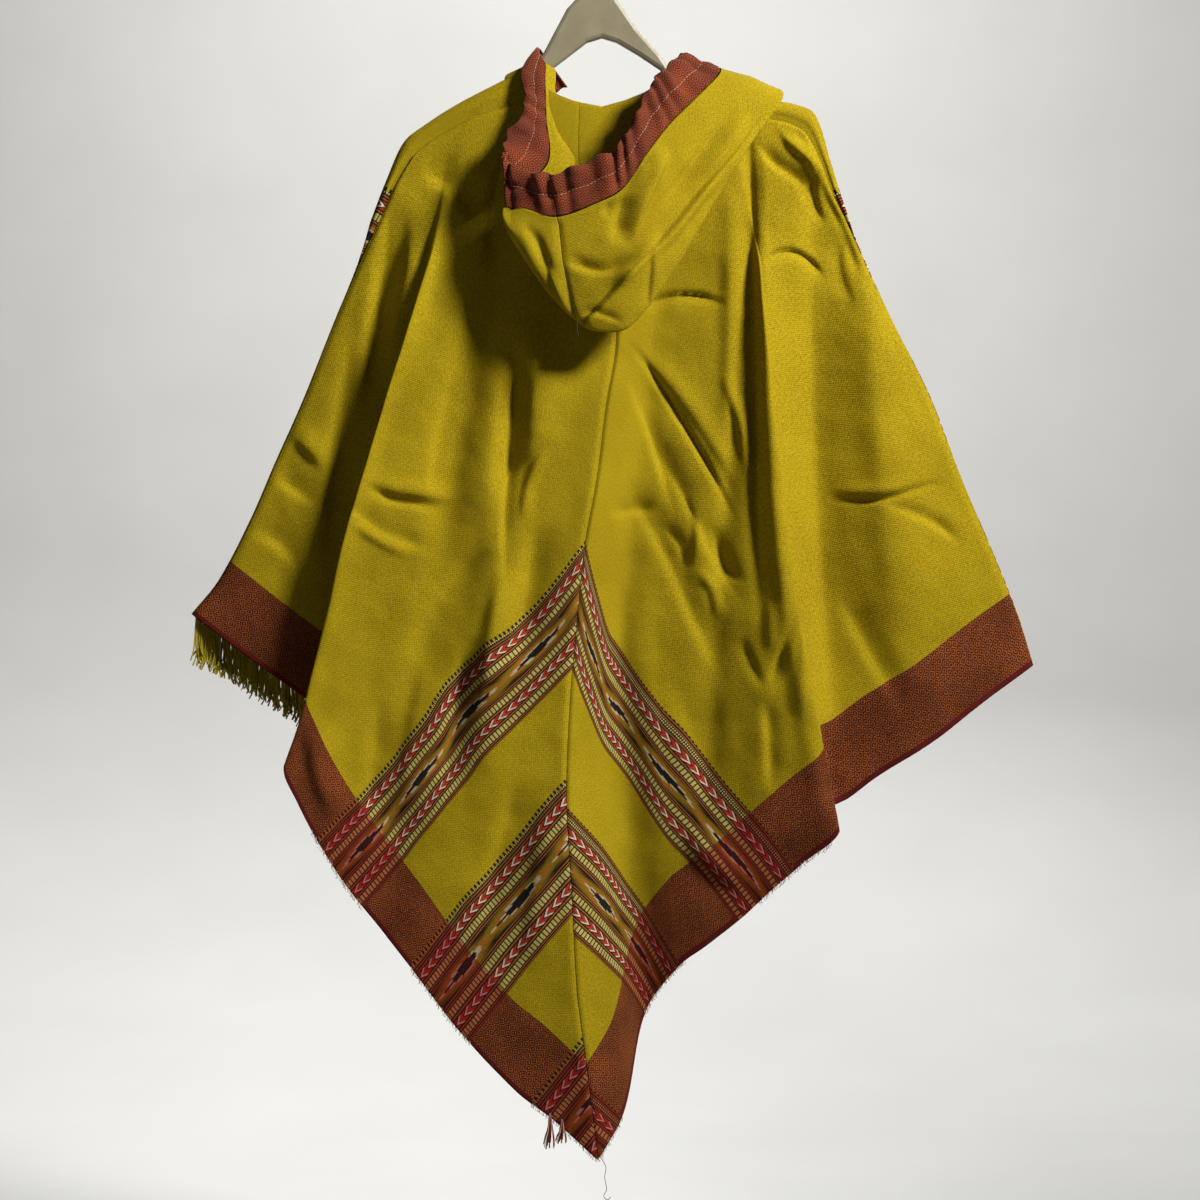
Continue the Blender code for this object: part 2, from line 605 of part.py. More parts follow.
def fringe_comb(name, hem, strands, material, collection):
    """A narrow head under the hem, with every second cell of it drawn down into a strand."""
    cells = 2 * strands - 1
    bm = bmesh.new()
    rings = []
    for i in range(cells + 1):
        top = polyline_point(hem, i / cells) - Vector((0.0, 0.0, FRINGE_GAP))
        half_wall = Vector((0.0, FRINGE_WALL / 2, 0.0))
        low = top - Vector((0.0, 0.0, FRINGE_HEAD))
        rings.append([bm.verts.new(co) for co in
                      (top - half_wall, top + half_wall, low + half_wall, low - half_wall)])
    bottoms = []
    for i in range(cells):
        here, there = rings[i], rings[i + 1]
        for side in range(4):
            following = (side + 1) % 4
            face = bm.faces.new((here[side], here[following], there[following], there[side]))
            if side == 2:
                bottoms.append(face)
    bm.faces.new(rings[0])
    bm.faces.new(list(reversed(rings[-1])))
    for number, face in enumerate(bottoms[::2]):
        result = bmesh.ops.extrude_discrete_faces(bm, faces=[face])
        tip = result["faces"][0]
        middle = tip.calc_center_median()
        sway = FRINGE_SWAY * math.sin(1.7 * number)
        length = FRINGE_LENGTH * (1 - FRINGE_UNEVEN + FRINGE_UNEVEN * math.sin(2.3 * number))
        for vert in tip.verts:
            vert.co = middle + (vert.co - middle) * FRINGE_TAPER + Vector((sway, 0.0, 0.0))
            vert.co.z = middle.z - length + (vert.co.z - middle.z) * 0.2
    bmesh.ops.recalc_face_normals(bm, faces=bm.faces)
    mesh = bpy.data.meshes.new(name)
    bm.to_mesh(mesh)
    bm.free()
    comb = bpy.data.objects.new(name, mesh)
    comb.data.materials.append(material)
    collection.objects.link(comb)
    return comb


clear_scene()
poncho = new_collection("hooded_poncho")
olive_cloth = finish_material("olive twill", OLIVE, 0.85)
olive_yarn = finish_material("olive fringe yarn", OLIVE_FRINGE, 0.9)
brick_cloth = finish_material("brick border cloth", BRICK, 0.85)
taupe_hanger = finish_material("taupe hanger", TAUPE, 0.45)
hook_steel = finish_material("hook steel", STEEL, 0.3, 1.0)

back_half("back_left", LEFT, olive_cloth, poncho)
back_half("back_right", RIGHT, olive_cloth, poncho)
front_panel("front", olive_cloth, poncho)

hood_end = len(HOOD) - 1
hood_piece("hood_left", 0, HOOD_SEAM_STATION, 1, HOOD_ROWS, CLOTH, olive_cloth, poncho)
hood_piece("hood_right", HOOD_SEAM_STATION, hood_end, 1, HOOD_ROWS, CLOTH, olive_cloth, poncho)
hood_piece("casing_left", 0, HOOD_SEAM_STATION, 0, CASING_ROWS, CASING_WALL, brick_cloth, poncho)
hood_piece("casing_right", HOOD_SEAM_STATION, hood_end, 0, CASING_ROWS, CASING_WALL, brick_cloth, poncho)

hem_columns = 2 * (FRONT_WRAP_COLUMNS + FRONT_HALF_COLUMNS)
front_hem = [front_point(column / hem_columns, 1.0) for column in range(hem_columns + 1)]
centre_column = hem_columns // 2
first_free = FRONT_WRAP_COLUMNS
left_hem = front_hem[first_free:centre_column + 1]
left_hem[-1] = left_hem[-2].lerp(left_hem[-1], FRINGE_END_SHARE)
right_hem = front_hem[centre_column:hem_columns + 1 - first_free]
right_hem[0] = right_hem[1].lerp(right_hem[0], FRINGE_END_SHARE)
fringe_comb("fringe_left", left_hem, FRINGE_STRANDS, olive_yarn, poncho)
fringe_comb("fringe_right", right_hem, FRINGE_STRANDS, olive_yarn, poncho)

hanger_body(taupe_hanger, poncho)
hanger_hook(hook_steel, poncho)
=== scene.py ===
"""Hooded poncho hanging on a coat hanger, seen from its back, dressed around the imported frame."""
import math
from collections import namedtuple

import bpy
import numpy as np
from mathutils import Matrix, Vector, noise


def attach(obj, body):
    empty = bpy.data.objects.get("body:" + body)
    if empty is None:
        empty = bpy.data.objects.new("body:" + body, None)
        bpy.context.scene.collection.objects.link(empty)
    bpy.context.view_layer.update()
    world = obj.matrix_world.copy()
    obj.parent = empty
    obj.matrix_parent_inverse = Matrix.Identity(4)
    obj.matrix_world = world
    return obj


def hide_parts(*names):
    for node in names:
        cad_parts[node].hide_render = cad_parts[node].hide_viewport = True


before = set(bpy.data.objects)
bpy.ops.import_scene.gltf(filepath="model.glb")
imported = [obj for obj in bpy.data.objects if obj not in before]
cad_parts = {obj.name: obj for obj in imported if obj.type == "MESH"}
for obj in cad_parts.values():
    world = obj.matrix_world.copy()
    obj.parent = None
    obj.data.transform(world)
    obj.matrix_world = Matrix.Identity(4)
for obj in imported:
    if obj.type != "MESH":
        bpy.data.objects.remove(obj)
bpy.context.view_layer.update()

scene = bpy.context.scene

# Camera: level with the middle of the garment, square to its back, far enough away
# that the hanging cloth keeps nearly the same scale from its edge to its deepest fold.
VIEW_WIDTH = 1.26
VIEW_CENTRE = Vector((0.0021, -0.034, -0.7245))
VIEW_DISTANCE = 2.6
camera_data = bpy.data.cameras.new("camera")
camera_data.sensor_width = 36.0
camera_data.lens = 36.0 * VIEW_DISTANCE / VIEW_WIDTH
camera_data.clip_end = 50.0
camera = bpy.data.objects.new("camera", camera_data)
camera.location = VIEW_CENTRE + Vector((0.0, -VIEW_DISTANCE, 0.0))
camera.rotation_euler = (math.pi / 2, 0.0, 0.0)
scene.collection.objects.link(camera)
scene.camera = camera


# The back: two halves of napped olive twill, each a right triangle cut on two straight grains.
# The long mitre down the centre turns their stripe bands into chevrons above a brick border,
# and each half is sewn to the front along the shoulder and the side.
CLOTH = 0.0014
LEG = 0.773
BACK_COLUMNS = 168
BACK_ROWS = 264
SEAM_COLUMNS = 9
EDGE_COLUMNS = 6
EDGE_ZONE = 0.982
SEAM_ZONE = 0.03
SEAM_GAP = 0.00015
EDGE_DIP = 0.0030
EDGE_DIP_WIDTH = 0.0036
SEAM_DIP = 0.0030
SEAM_DIP_WIDTH = 0.0030
Fold = namedtuple("Fold", "name top_t hem_t start end width lift")
Crease = namedtuple("Crease", "name points width lift slope", defaults=(2.2,))
CREASE_LIFT = 2.1
CREASE_WIDTH = 0.72

# Chalk marks on the hanging cloth: along the cloth, across, down, proud, in metres
BACK_SEAM = [
    (0.000, 0.005, 0.210, 0.020),
    (0.227, 0.019, 0.445, 0.030),
    (0.304, 0.008, 0.522, 0.037),
    (0.384, -0.002, 0.601, 0.043),
    (0.452, -0.014, 0.667, 0.047),
    (0.539, -0.023, 0.754, 0.050),
    (0.626, -0.030, 0.840, 0.052),
    (0.720, -0.033, 0.934, 0.055),
    (0.811, -0.028, 1.025, 0.058),
    (0.918, -0.022, 1.132, 0.061),
    (0.990, -0.013, 1.203, 0.063),
    (1.093, 0.000, 1.306, 0.065),
]
LEFT_HEM = [
    (0.000, 0.000, 1.306, 0.065),
    (0.060, -0.045, 1.266, 0.060),
    (0.110, -0.085, 1.236, 0.057),
    (0.197, -0.145, 1.173, 0.054),
    (0.278, -0.194, 1.109, 0.053),
    (0.380, -0.258, 1.029, 0.053),
    (0.436, -0.288, 0.982, 0.057),
    (0.489, -0.313, 0.934, 0.061),
    (0.528, -0.326, 0.899, 0.064),
    (0.570, -0.306, 0.872, 0.038),
    (0.612, -0.279, 0.852, 0.014),
    (0.657, -0.315, 0.826, 0.005),
    (0.736, -0.379, 0.780, 0.004),
    (0.800, -0.432, 0.740, 0.0012),
]
RIGHT_HEM = [
    (0.000, 0.000, 1.306, 0.065),
    (0.060, 0.027, 1.261, 0.035),
    (0.165, 0.049, 1.166, 0.000),
    (0.250, 0.086, 1.111, 0.010),
    (0.285, 0.114, 1.089, 0.020),
    (0.335, 0.151, 1.059, 0.030),
    (0.372, 0.178, 1.033, 0.036),
    (0.420, 0.213, 1.001, 0.044),
    (0.472, 0.251, 0.967, 0.055),
    (0.500, 0.240, 0.947, 0.034),
    (0.530, 0.264, 0.934, 0.020),
    (0.570, 0.296, 0.910, 0.020),
    (0.638, 0.353, 0.874, 0.022),
    (0.705, 0.406, 0.834, 0.014),
    (0.775, 0.463, 0.794, 0.0012),
]
LEFT_NECK = [
    (0.000, 0.005, 0.210, 0.020),
    (0.036, -0.029, 0.201, 0.018),
    (0.071, -0.060, 0.184, 0.014),
]
RIGHT_NECK = [
    (0.000, 0.005, 0.210, 0.020),
    (0.036, 0.039, 0.199, 0.018),
    (0.074, 0.072, 0.180, 0.014),
]

# Seam of back and front from the neck over the shoulder to the hem corner, with the line
# where the front's cloth turns over: along, across, down, proud, fold across, fold down
LEFT_EDGE = [
    (0.000, -0.060, 0.184, 0.014, -0.073, 0.157),
    (0.032, -0.088, 0.198, 0.013, -0.094, 0.169),
    (0.089, -0.139, 0.217, 0.012, -0.148, 0.197),
    (0.135, -0.178, 0.239, 0.012, -0.184, 0.220),
    (0.161, -0.196, 0.256, 0.012, -0.206, 0.238),
    (0.197, -0.215, 0.285, 0.011, -0.224, 0.277),
    (0.232, -0.229, 0.317, 0.010, -0.238, 0.313),
    (0.273, -0.247, 0.354, 0.007, -0.252, 0.352),
    (0.304, -0.260, 0.383, 0.0045, -0.262, 0.382),
    (0.348, -0.278, 0.424, 0.0016, -0.278, 0.424),
    (0.445, -0.314, 0.514, 0.0012, -0.314, 0.514),
    (0.516, -0.343, 0.579, 0.0012, -0.343, 0.579),
    (0.582, -0.369, 0.639, 0.0012, -0.369, 0.639),
    (0.655, -0.403, 0.704, 0.0012, -0.403, 0.704),
    (0.701, -0.432, 0.740, 0.0012, -0.432, 0.740),
]
RIGHT_EDGE = [
    (0.000, 0.072, 0.180, 0.014, 0.085, 0.163),
    (0.060, 0.128, 0.197, 0.013, 0.135, 0.177),
    (0.114, 0.178, 0.214, 0.012, 0.186, 0.193),
    (0.139, 0.202, 0.220, 0.012, 0.209, 0.198),
    (0.159, 0.219, 0.230, 0.012, 0.230, 0.208),
    (0.194, 0.236, 0.260, 0.011, 0.246, 0.256),
    (0.230, 0.248, 0.292, 0.010, 0.257, 0.292),
    (0.259, 0.261, 0.318, 0.008, 0.267, 0.318),
    (0.295, 0.276, 0.350, 0.0045, 0.279, 0.350),
    (0.377, 0.311, 0.425, 0.0016, 0.311, 0.425),
    (0.469, 0.352, 0.507, 0.0012, 0.352, 0.507),
    (0.561, 0.385, 0.593, 0.0012, 0.385, 0.593),
    (0.661, 0.424, 0.685, 0.0012, 0.424, 0.685),
    (0.727, 0.448, 0.746, 0.0012, 0.448, 0.746),
    (0.777, 0.463, 0.794, 0.0012, 0.463, 0.794),
]

# Largest folds, from a share of the shoulder line to a share of the hem
LEFT_FOLDS = [
    Fold("ridge from the shoulder corner", 0.73, 0.650, 0.06, 0.80, 0.050, 0.010),
    Fold("hollow beside the hood", 0.46, 0.34, 0.06, 0.62, 0.060, -0.012),
    Fold("roll beside the seam", 0.30, 0.16, 0.12, 0.80, 0.070, 0.008),
    Fold("hollow of the flap", 0.88, 0.80, 0.10, 0.90, 0.045, -0.005),
    Fold("band wave", 0.30, 0.42, 0.55, 1.20, 0.045, -0.007),
]
RIGHT_FOLDS = [
    Fold("crease from the shoulder", 0.62, 0.36, 0.06, 0.92, 0.030, -0.005),
    Fold("broad ridge", 0.66, 0.50, 0.10, 0.98, 0.050, 0.008),
    Fold("valley beside the ridge", 0.80, 0.62, 0.18, 0.98, 0.050, -0.006),
    Fold("side ridge", 0.98, 0.80, 0.25, 1.20, 0.060, 0.003),
    Fold("slanting crease from the hood", -0.45, 1.65, 0.20, 0.47, 0.040, -0.003),
    Fold("hem wave", 0.20, 0.33, 0.45, 1.20, 0.060, 0.006),
]

# Smaller creases, each a line of (across, down) points with a width and a lift
LEFT_CREASES = [
    Crease("press line across", [(-0.246, 0.601), (-0.221, 0.618), (-0.190, 0.624),
        (-0.158, 0.631)], 0.006, -0.0025),
    Crease("press ridge across", [(-0.250, 0.592), (-0.222, 0.607), (-0.180, 0.614),
        (-0.140, 0.618)], 0.007, 0.0022),
    Crease("second press line", [(-0.268, 0.614), (-0.232, 0.650), (-0.200, 0.664),
        (-0.166, 0.672)], 0.007, -0.0024),
    Crease("second press ridge", [(-0.262, 0.640), (-0.225, 0.664), (-0.190, 0.680)], 0.008, 0.0020),
    Crease("hollow by the hood", [(-0.088, 0.430), (-0.092, 0.510), (-0.098, 0.590),
        (-0.102, 0.660)], 0.016, -0.0060),
    Crease("roll right of it", [(-0.062, 0.440), (-0.064, 0.520), (-0.068, 0.600)], 0.018, 0.0050),
    Crease("shoulder ridge", [(-0.190, 0.300), (-0.201, 0.380), (-0.214, 0.440),
        (-0.231, 0.500)], 0.014, 0.0050),
    Crease("shoulder hollow", [(-0.215, 0.300), (-0.232, 0.400), (-0.242, 0.480),
        (-0.250, 0.540)], 0.010, -0.0050),
    Crease("long press line", [(-0.088, 0.430), (-0.090, 0.510), (-0.094, 0.580), (-0.098, 0.640),
        (-0.096, 0.720)], 0.0050, -0.0034, 2.4),
    Crease("fine slant", [(-0.150, 0.480), (-0.170, 0.560), (-0.176, 0.620)], 0.0060, -0.0022, 2.4),
    Crease("second slant", [(-0.050, 0.560), (-0.072, 0.600), (-0.080, 0.650)], 0.0055, 0.0024, 2.0),
    Crease("neck drag", [(-0.092, 0.240), (-0.110, 0.300), (-0.118, 0.380)], 0.0090, -0.0040, 2.0),
    Crease("short drag line", [(-0.190, 0.262), (-0.150, 0.290), (-0.120, 0.330)], 0.012, -0.0035),
    Crease("flap drag one", [(-0.372, 0.560), (-0.330, 0.600), (-0.290, 0.625)], 0.010, -0.0030),
    Crease("flap drag two", [(-0.350, 0.530), (-0.310, 0.560), (-0.285, 0.590)], 0.009, 0.0028),
    Crease("flap drag three", [(-0.400, 0.640), (-0.350, 0.655), (-0.310, 0.690)], 0.012, -0.0030),
    Crease("flap hollow", [(-0.258, 0.420), (-0.275, 0.560), (-0.290, 0.700)], 0.012, -0.0045),
    Crease("slant by the band", [(-0.100, 0.650), (-0.160, 0.720), (-0.210, 0.790)], 0.014, -0.0030),
    Crease("band dip one", [(-0.060, 0.640), (-0.075, 0.720), (-0.085, 0.800)], 0.012, -0.0045),
    Crease("band swell one", [(-0.095, 0.680), (-0.110, 0.760), (-0.125, 0.850)], 0.013, 0.0045),
    Crease("band dip two", [(-0.130, 0.760), (-0.150, 0.850), (-0.160, 0.930)], 0.013, -0.0050),
    Crease("band swell two", [(-0.175, 0.780), (-0.195, 0.880), (-0.205, 0.960)], 0.014, 0.0040),
    Crease("band dip three", [(-0.225, 0.820), (-0.235, 0.900), (-0.240, 0.980)], 0.012, -0.0040),
    Crease("lower dip", [(-0.075, 0.900), (-0.100, 0.980), (-0.120, 1.080)], 0.015, -0.0045),
    Crease("lower swell", [(-0.050, 0.920), (-0.060, 1.010), (-0.075, 1.120)], 0.015, 0.0035),
    Crease("hem roll", [(-0.300, 0.840), (-0.290, 0.900), (-0.270, 0.960)], 0.014, 0.0040),
]
RIGHT_CREASES = [
    Crease("crease from the hood tip", [(0.018, 0.444), (0.044, 0.466), (0.072, 0.506), (0.095, 0.546),
        (0.116, 0.582), (0.150, 0.650)], 0.0038, -0.0030, -1.5),
    Crease("its upper ridge", [(0.040, 0.450), (0.090, 0.512), (0.125, 0.565), (0.160, 0.630)], 0.0075, 0.0018),
    Crease("second slant", [(0.060, 0.560), (0.095, 0.620), (0.130, 0.690), (0.160, 0.740)], 0.007, -0.0026),
    Crease("third slant", [(0.030, 0.600), (0.065, 0.660), (0.110, 0.760), (0.140, 0.820)], 0.010, -0.0028),
    Crease("crumple one", [(0.090, 0.600), (0.105, 0.640), (0.100, 0.700)], 0.006, 0.0024),
    Crease("crumple two", [(0.120, 0.640), (0.135, 0.690), (0.160, 0.710)], 0.006, -0.0024),
    Crease("shoulder crease", [(0.156, 0.180), (0.161, 0.262), (0.164, 0.340), (0.165, 0.420), (0.165, 0.520),
                               (0.166, 0.620), (0.170, 0.700), (0.176, 0.800)], 0.0062, -0.0052, -2.0),
    Crease("shoulder roll", [(0.140, 0.290), (0.140, 0.400), (0.138, 0.520), (0.136, 0.600)], 0.012, 0.0026),
    Crease("V right arm", [(0.206, 0.732), (0.192, 0.780), (0.176, 0.822)], 0.0050, -0.0022, 2.0),
    Crease("V left arm", [(0.150, 0.760), (0.164, 0.795), (0.176, 0.822)], 0.0050, -0.0018, -2.0),
    Crease("V point down", [(0.176, 0.822), (0.180, 0.870), (0.182, 0.930)], 0.0070, -0.0030, 2.0),
    Crease("V middle ridge", [(0.180, 0.720), (0.182, 0.790)], 0.008, 0.0018),
    Crease("ridge right of the V", [(0.222, 0.720), (0.214, 0.800), (0.216, 0.860)], 0.009, 0.0022),
    Crease("broad ridge top", [(0.176, 0.160), (0.178, 0.300), (0.179, 0.450), (0.184, 0.600), (0.198, 0.740),
                               (0.218, 0.860), (0.236, 0.980)], 0.0135, 0.0054, 3.2),
    Crease("valley", [(0.228, 0.180), (0.230, 0.320), (0.231, 0.460), (0.236, 0.620), (0.246, 0.780),
        (0.258, 0.940)],
           0.020, -0.0056),
    Crease("side ridge", [(0.284, 0.280), (0.291, 0.420), (0.298, 0.560), (0.312, 0.700),
        (0.330, 0.840)], 0.024, 0.0032),
    Crease("press line across", [(0.238, 0.618), (0.296, 0.620), (0.345, 0.605),
        (0.378, 0.600)], 0.0034, -0.0019, 2.4),
    Crease("press ridge across", [(0.240, 0.608), (0.300, 0.610), (0.350, 0.596)], 0.006, 0.0022),
    Crease("press line two", [(0.296, 0.622), (0.350, 0.640), (0.390, 0.668)], 0.0050, -0.0028, 2.4),
    Crease("centre press line", [(0.008, 0.633), (0.035, 0.630), (0.066, 0.626)], 0.006, -0.0020),
    Crease("line under the hood", [(0.030, 0.424), (0.056, 0.408), (0.084, 0.401), (0.112, 0.403),
        (0.142, 0.414)], 0.0034, -0.0030, -2.6),
    Crease("line by the shoulder", [(0.168, 0.376), (0.186, 0.359), (0.206, 0.355), (0.228, 0.366),
        (0.244, 0.388)], 0.0036, -0.0028, -2.6),
    Crease("shoulder pinch", [(0.190, 0.212), (0.200, 0.236), (0.226, 0.262),
        (0.236, 0.292)], 0.0060, 0.0036, 2.2),
    Crease("shoulder pinch hollow", [(0.168, 0.236), (0.186, 0.262), (0.214, 0.282),
        (0.222, 0.314)], 0.0060, -0.0040, 2.2),
    Crease("seam drag one", [(0.236, 0.262), (0.228, 0.290), (0.240, 0.330)], 0.0055, -0.0030, -2.2),
    Crease("seam drag two", [(0.262, 0.330), (0.256, 0.366), (0.272, 0.420)], 0.0060, -0.0014, -2.2),
    Crease("crumple three", [(0.100, 0.690), (0.120, 0.712), (0.128, 0.750)], 0.0055, 0.0020, 2.0),
    Crease("crumple four", [(0.066, 0.640), (0.088, 0.668), (0.094, 0.700)], 0.0060, -0.0018, 2.0),
    Crease("long soft line", [(0.030, 0.480), (0.060, 0.560), (0.084, 0.640)], 0.0070, -0.0026, 3.0),
    Crease("fine slant", [(0.130, 0.480), (0.150, 0.540), (0.160, 0.610)], 0.0060, 0.0026, 2.0),
    Crease("upper drag", [(0.240, 0.290), (0.265, 0.330), (0.280, 0.390)], 0.010, -0.0030),
    Crease("slant to the border", [(0.250, 0.700), (0.290, 0.780), (0.330, 0.850)], 0.012, -0.0030),
    Crease("jog dip", [(0.236, 0.850), (0.240, 0.910), (0.248, 0.955)], 0.010, -0.0050),
    Crease("band dip", [(0.080, 0.800), (0.110, 0.880), (0.130, 0.960)], 0.020, -0.0030),
    Crease("lower slant", [(0.090, 0.960), (0.120, 1.000), (0.160, 1.030)], 0.012, 0.0040),
]


def smooth_curve(keys, values, at):
    """Curve through the values, its slope at each key taken from the neighbours."""
    keys = np.asarray(keys, float)
    values = np.asarray(values, float).reshape(len(keys), -1)
    index = np.arange(len(keys))
    low, high = np.maximum(index - 1, 0), np.minimum(index + 1, len(keys) - 1)
    slopes = (values[high] - values[low]) / (keys[high] - keys[low])[:, None]
    at = np.clip(np.asarray(at, float), keys[0], keys[-1])
    i = np.clip(np.searchsorted(keys, at, side="right") - 1, 0, len(keys) - 2)
    span = (keys[i + 1] - keys[i])[:, None]
    u = (at - keys[i])[:, None] / span
    return ((2 * u**3 - 3 * u**2 + 1) * values[i] + (u**3 - 2 * u**2 + u) * slopes[i] * span
            + (3 * u**2 - 2 * u**3) * values[i + 1] + (u**3 - u**2) * slopes[i + 1] * span)


def chalk_line(marks, distances):
    """Points of a chalk line at the given distances along it, in the row frame."""
    table = np.array(marks, float)
    found = smooth_curve(table[:, 0], table[:, 1:4], distances)
    return np.stack([found[:, 0], -found[:, 2], -found[:, 1]], axis=1)


def ease(low, high, value):
    u = np.clip((value - low) / (high - low), 0.0, 1.0)
    return u * u * (3 - 2 * u)


def fold_lift(folds, t, w):
    """Depth of the largest folds, fading to nothing at the seams and the shoulder line."""
    lift = np.zeros(np.broadcast(t, w).shape)
    for fold in folds:
        middle = fold.top_t + (fold.hem_t - fold.top_t) * w
        across = np.exp(-((t - middle) / fold.width) ** 2)
        rise = ease(fold.start, fold.start + 0.18, w)
        fall = 1 - ease(fold.end - 0.18, fold.end, w)
        lift += fold.lift * across * rise * fall
    fade = ease(0.0, 0.07, t) * (1 - ease(0.93, 1.0, t))
    return lift * fade * ease(0.0, 0.08, w)


def crease_lift(creases, x, z):
    """Depth of the smaller creases at a place of the hanging cloth, tapering to their ends."""
    lift = np.zeros(x.shape)
    for crease in creases:
        line = np.array(crease.points, float)
        steps = np.linalg.norm(np.diff(line, axis=0), axis=1)
        keys = np.concatenate([[0.0], np.cumsum(steps)])
        fine = smooth_curve(keys, line, np.linspace(0, keys[-1], 24))
        best = np.full(x.shape, 1e9)
        share, side = np.zeros(x.shape), np.zeros(x.shape)
        for k in range(len(fine) - 1):
            a, b = fine[k], fine[k + 1]
            run = b - a
            u = np.clip(((x - a[0]) * run[0] + (-z - a[1]) * run[1]) / (run @ run), 0.0, 1.0)
            gap = (x - a[0] - u * run[0]) ** 2 + (-z - a[1] - u * run[1]) ** 2
            nearer = gap < best
            best = np.where(nearer, gap, best)
            share = np.where(nearer, (k + u) / (len(fine) - 1), share)
            cross = (x - a[0]) * run[1] - (-z - a[1]) * run[0]
            side = np.where(nearer, cross, side)
        taper = ease(0.0, 0.36, share) * (1 - ease(0.64, 1.0, share))
        gentle = (side > 0) == (crease.slope > 0)
        width = crease.width * CREASE_WIDTH * np.where(gentle, abs(crease.slope), 1.0)
        lift += crease.lift * CREASE_LIFT * taper * np.exp(-best / width**2)
    return lift


def crumple(points, size, depth, seed):
    """Soft uneven lift over the cloth, from smooth noise of the given size."""
    shift = Vector((seed * 7.3, seed * 3.1, seed * 1.7))
    flat = points.reshape(-1, 3) / size
    values = [noise.noise(Vector(place) + shift) for place in flat]
    return depth * np.array(values).reshape(points.shape[:-1])


def cloth_mesh(name, points, flat, wall, material):
    """A grid of points (rows, columns, 3) as cloth with its wall and its flat UV map in metres."""
    rows, columns = points.shape[:2]
    index = np.arange(rows * columns).reshape(rows, columns)
    faces = np.stack([index[:-1, :-1], index[:-1, 1:], index[1:, 1:], index[1:, :-1]], axis=-1).reshape(-1, 4)
    mesh = bpy.data.meshes.new(name)
    mesh.from_pydata(points.reshape(-1, 3), [], faces.tolist())
    layer = mesh.uv_layers.new(name="flat")
    layer.data.foreach_set("uv", flat.reshape(-1, 2)[faces.ravel()].ravel())
    mesh.materials.append(material)
    mesh.shade_smooth()
    mesh.update()
    piece = bpy.data.objects.new(name, mesh)
    scene.collection.objects.link(piece)
    shell = piece.modifiers.new("wall", "SOLIDIFY")
    shell.thickness = wall
    shell.offset = 0.0
    return piece


# How far each band strays from a straight run on the hanging cloth: height above the hem, shift
LEFT_STRAY = [
    (0.0, 0.0), (0.20, 0.003), (0.275, 0.006), (0.349, 0.012), (0.428, 0.029), (0.60, 0.035), (0.90, 0.035)]
RIGHT_STRAY = [
    (0.0, 0.0), (0.17, 0.0), (0.252, 0.008), (0.327, 0.034), (0.409, 0.048), (0.60, 0.055), (0.90, 0.055)]
STRAY_START = 0.16
LEFT_SHOULDER, RIGHT_SHOULDER = 0.161, 0.159
# how much of the folds' extra cloth moves the pattern, and how far the stray fades at the hem
LEFT_WEAR, RIGHT_WEAR = (0.55, 0.45), (0.12, 0.05)


def edge_share(marks, neck):
    return neck[-1][0] / (neck[-1][0] + marks)


def back_points(sign, hem, neck, edge, shoulder, folds, creases, t, w):
    """Points of a back half at columns t (0 centre seam, 1 side) and rows w (0 top, 1 hem)."""
    share = edge_share(shoulder, neck)
    along_neck = chalk_line(neck, neck[-1][0] * np.minimum(t / share, 1.0))
    along_shoulder = chalk_line(edge, shoulder * np.maximum(t - share, 0.0) / (1 - share))
    top = np.where((t <= share)[:, None], along_neck, along_shoulder)[None, :, :]
    low = chalk_line(hem, hem[-1][0] * t)[None, :, :]
    seam = chalk_line(BACK_SEAM, BACK_SEAM[-1][0] * w)[:, None, :]
    side = chalk_line(edge, shoulder + (edge[-1][0] - shoulder) * w)[:, None, :]
    tt, ww = t[None, :, None], w[:, None, None]
    corners = ((top[:, :1] * (1 - tt) + top[:, -1:] * tt) * (1 - ww)
               + (low[:, :1] * (1 - tt) + low[:, -1:] * tt) * ww)
    points = top * (1 - ww) + low * ww + seam * (1 - tt) + side * tt - corners
    points[..., 1] -= fold_lift(folds, t[None, :], w[:, None])
    points[..., 0] += sign * SEAM_GAP * (1 - t[None, :])
    rim = ease(0.0, 0.05, 1 - t)[None, :] * ease(0.0, 0.06, w)[:, None]
    points[..., 1] -= crease_lift(creases, points[..., 0], points[..., 2]) * rim
    points[..., 1] -= crumple(points, 0.035, 0.0016, 1.0) * rim
    points[..., 1] -= crumple(points, 0.014, 0.0005, 2.0) * rim
    return points


def taken_up(points, flat, share):
    """Flat places moved along each row by the cloth that the folds on the way take up."""
    step = np.diff(points, axis=1)
    plain = np.linalg.norm(step[..., [0, 2]], axis=-1)
    extra = np.cumsum(np.linalg.norm(step, axis=-1) - plain, axis=1)
    extra = np.concatenate([np.zeros((len(points), 1)), extra], axis=1)
    run = np.concatenate([np.zeros((len(points), 1)), np.cumsum(plain, axis=1)], axis=1)
    extra -= extra[:, -1:] * run / run[:, -1:]
    along = np.gradient(flat, axis=1) / np.maximum(np.gradient(run, axis=1), 1e-6)[..., None]
    return flat + share * extra[..., None] * along


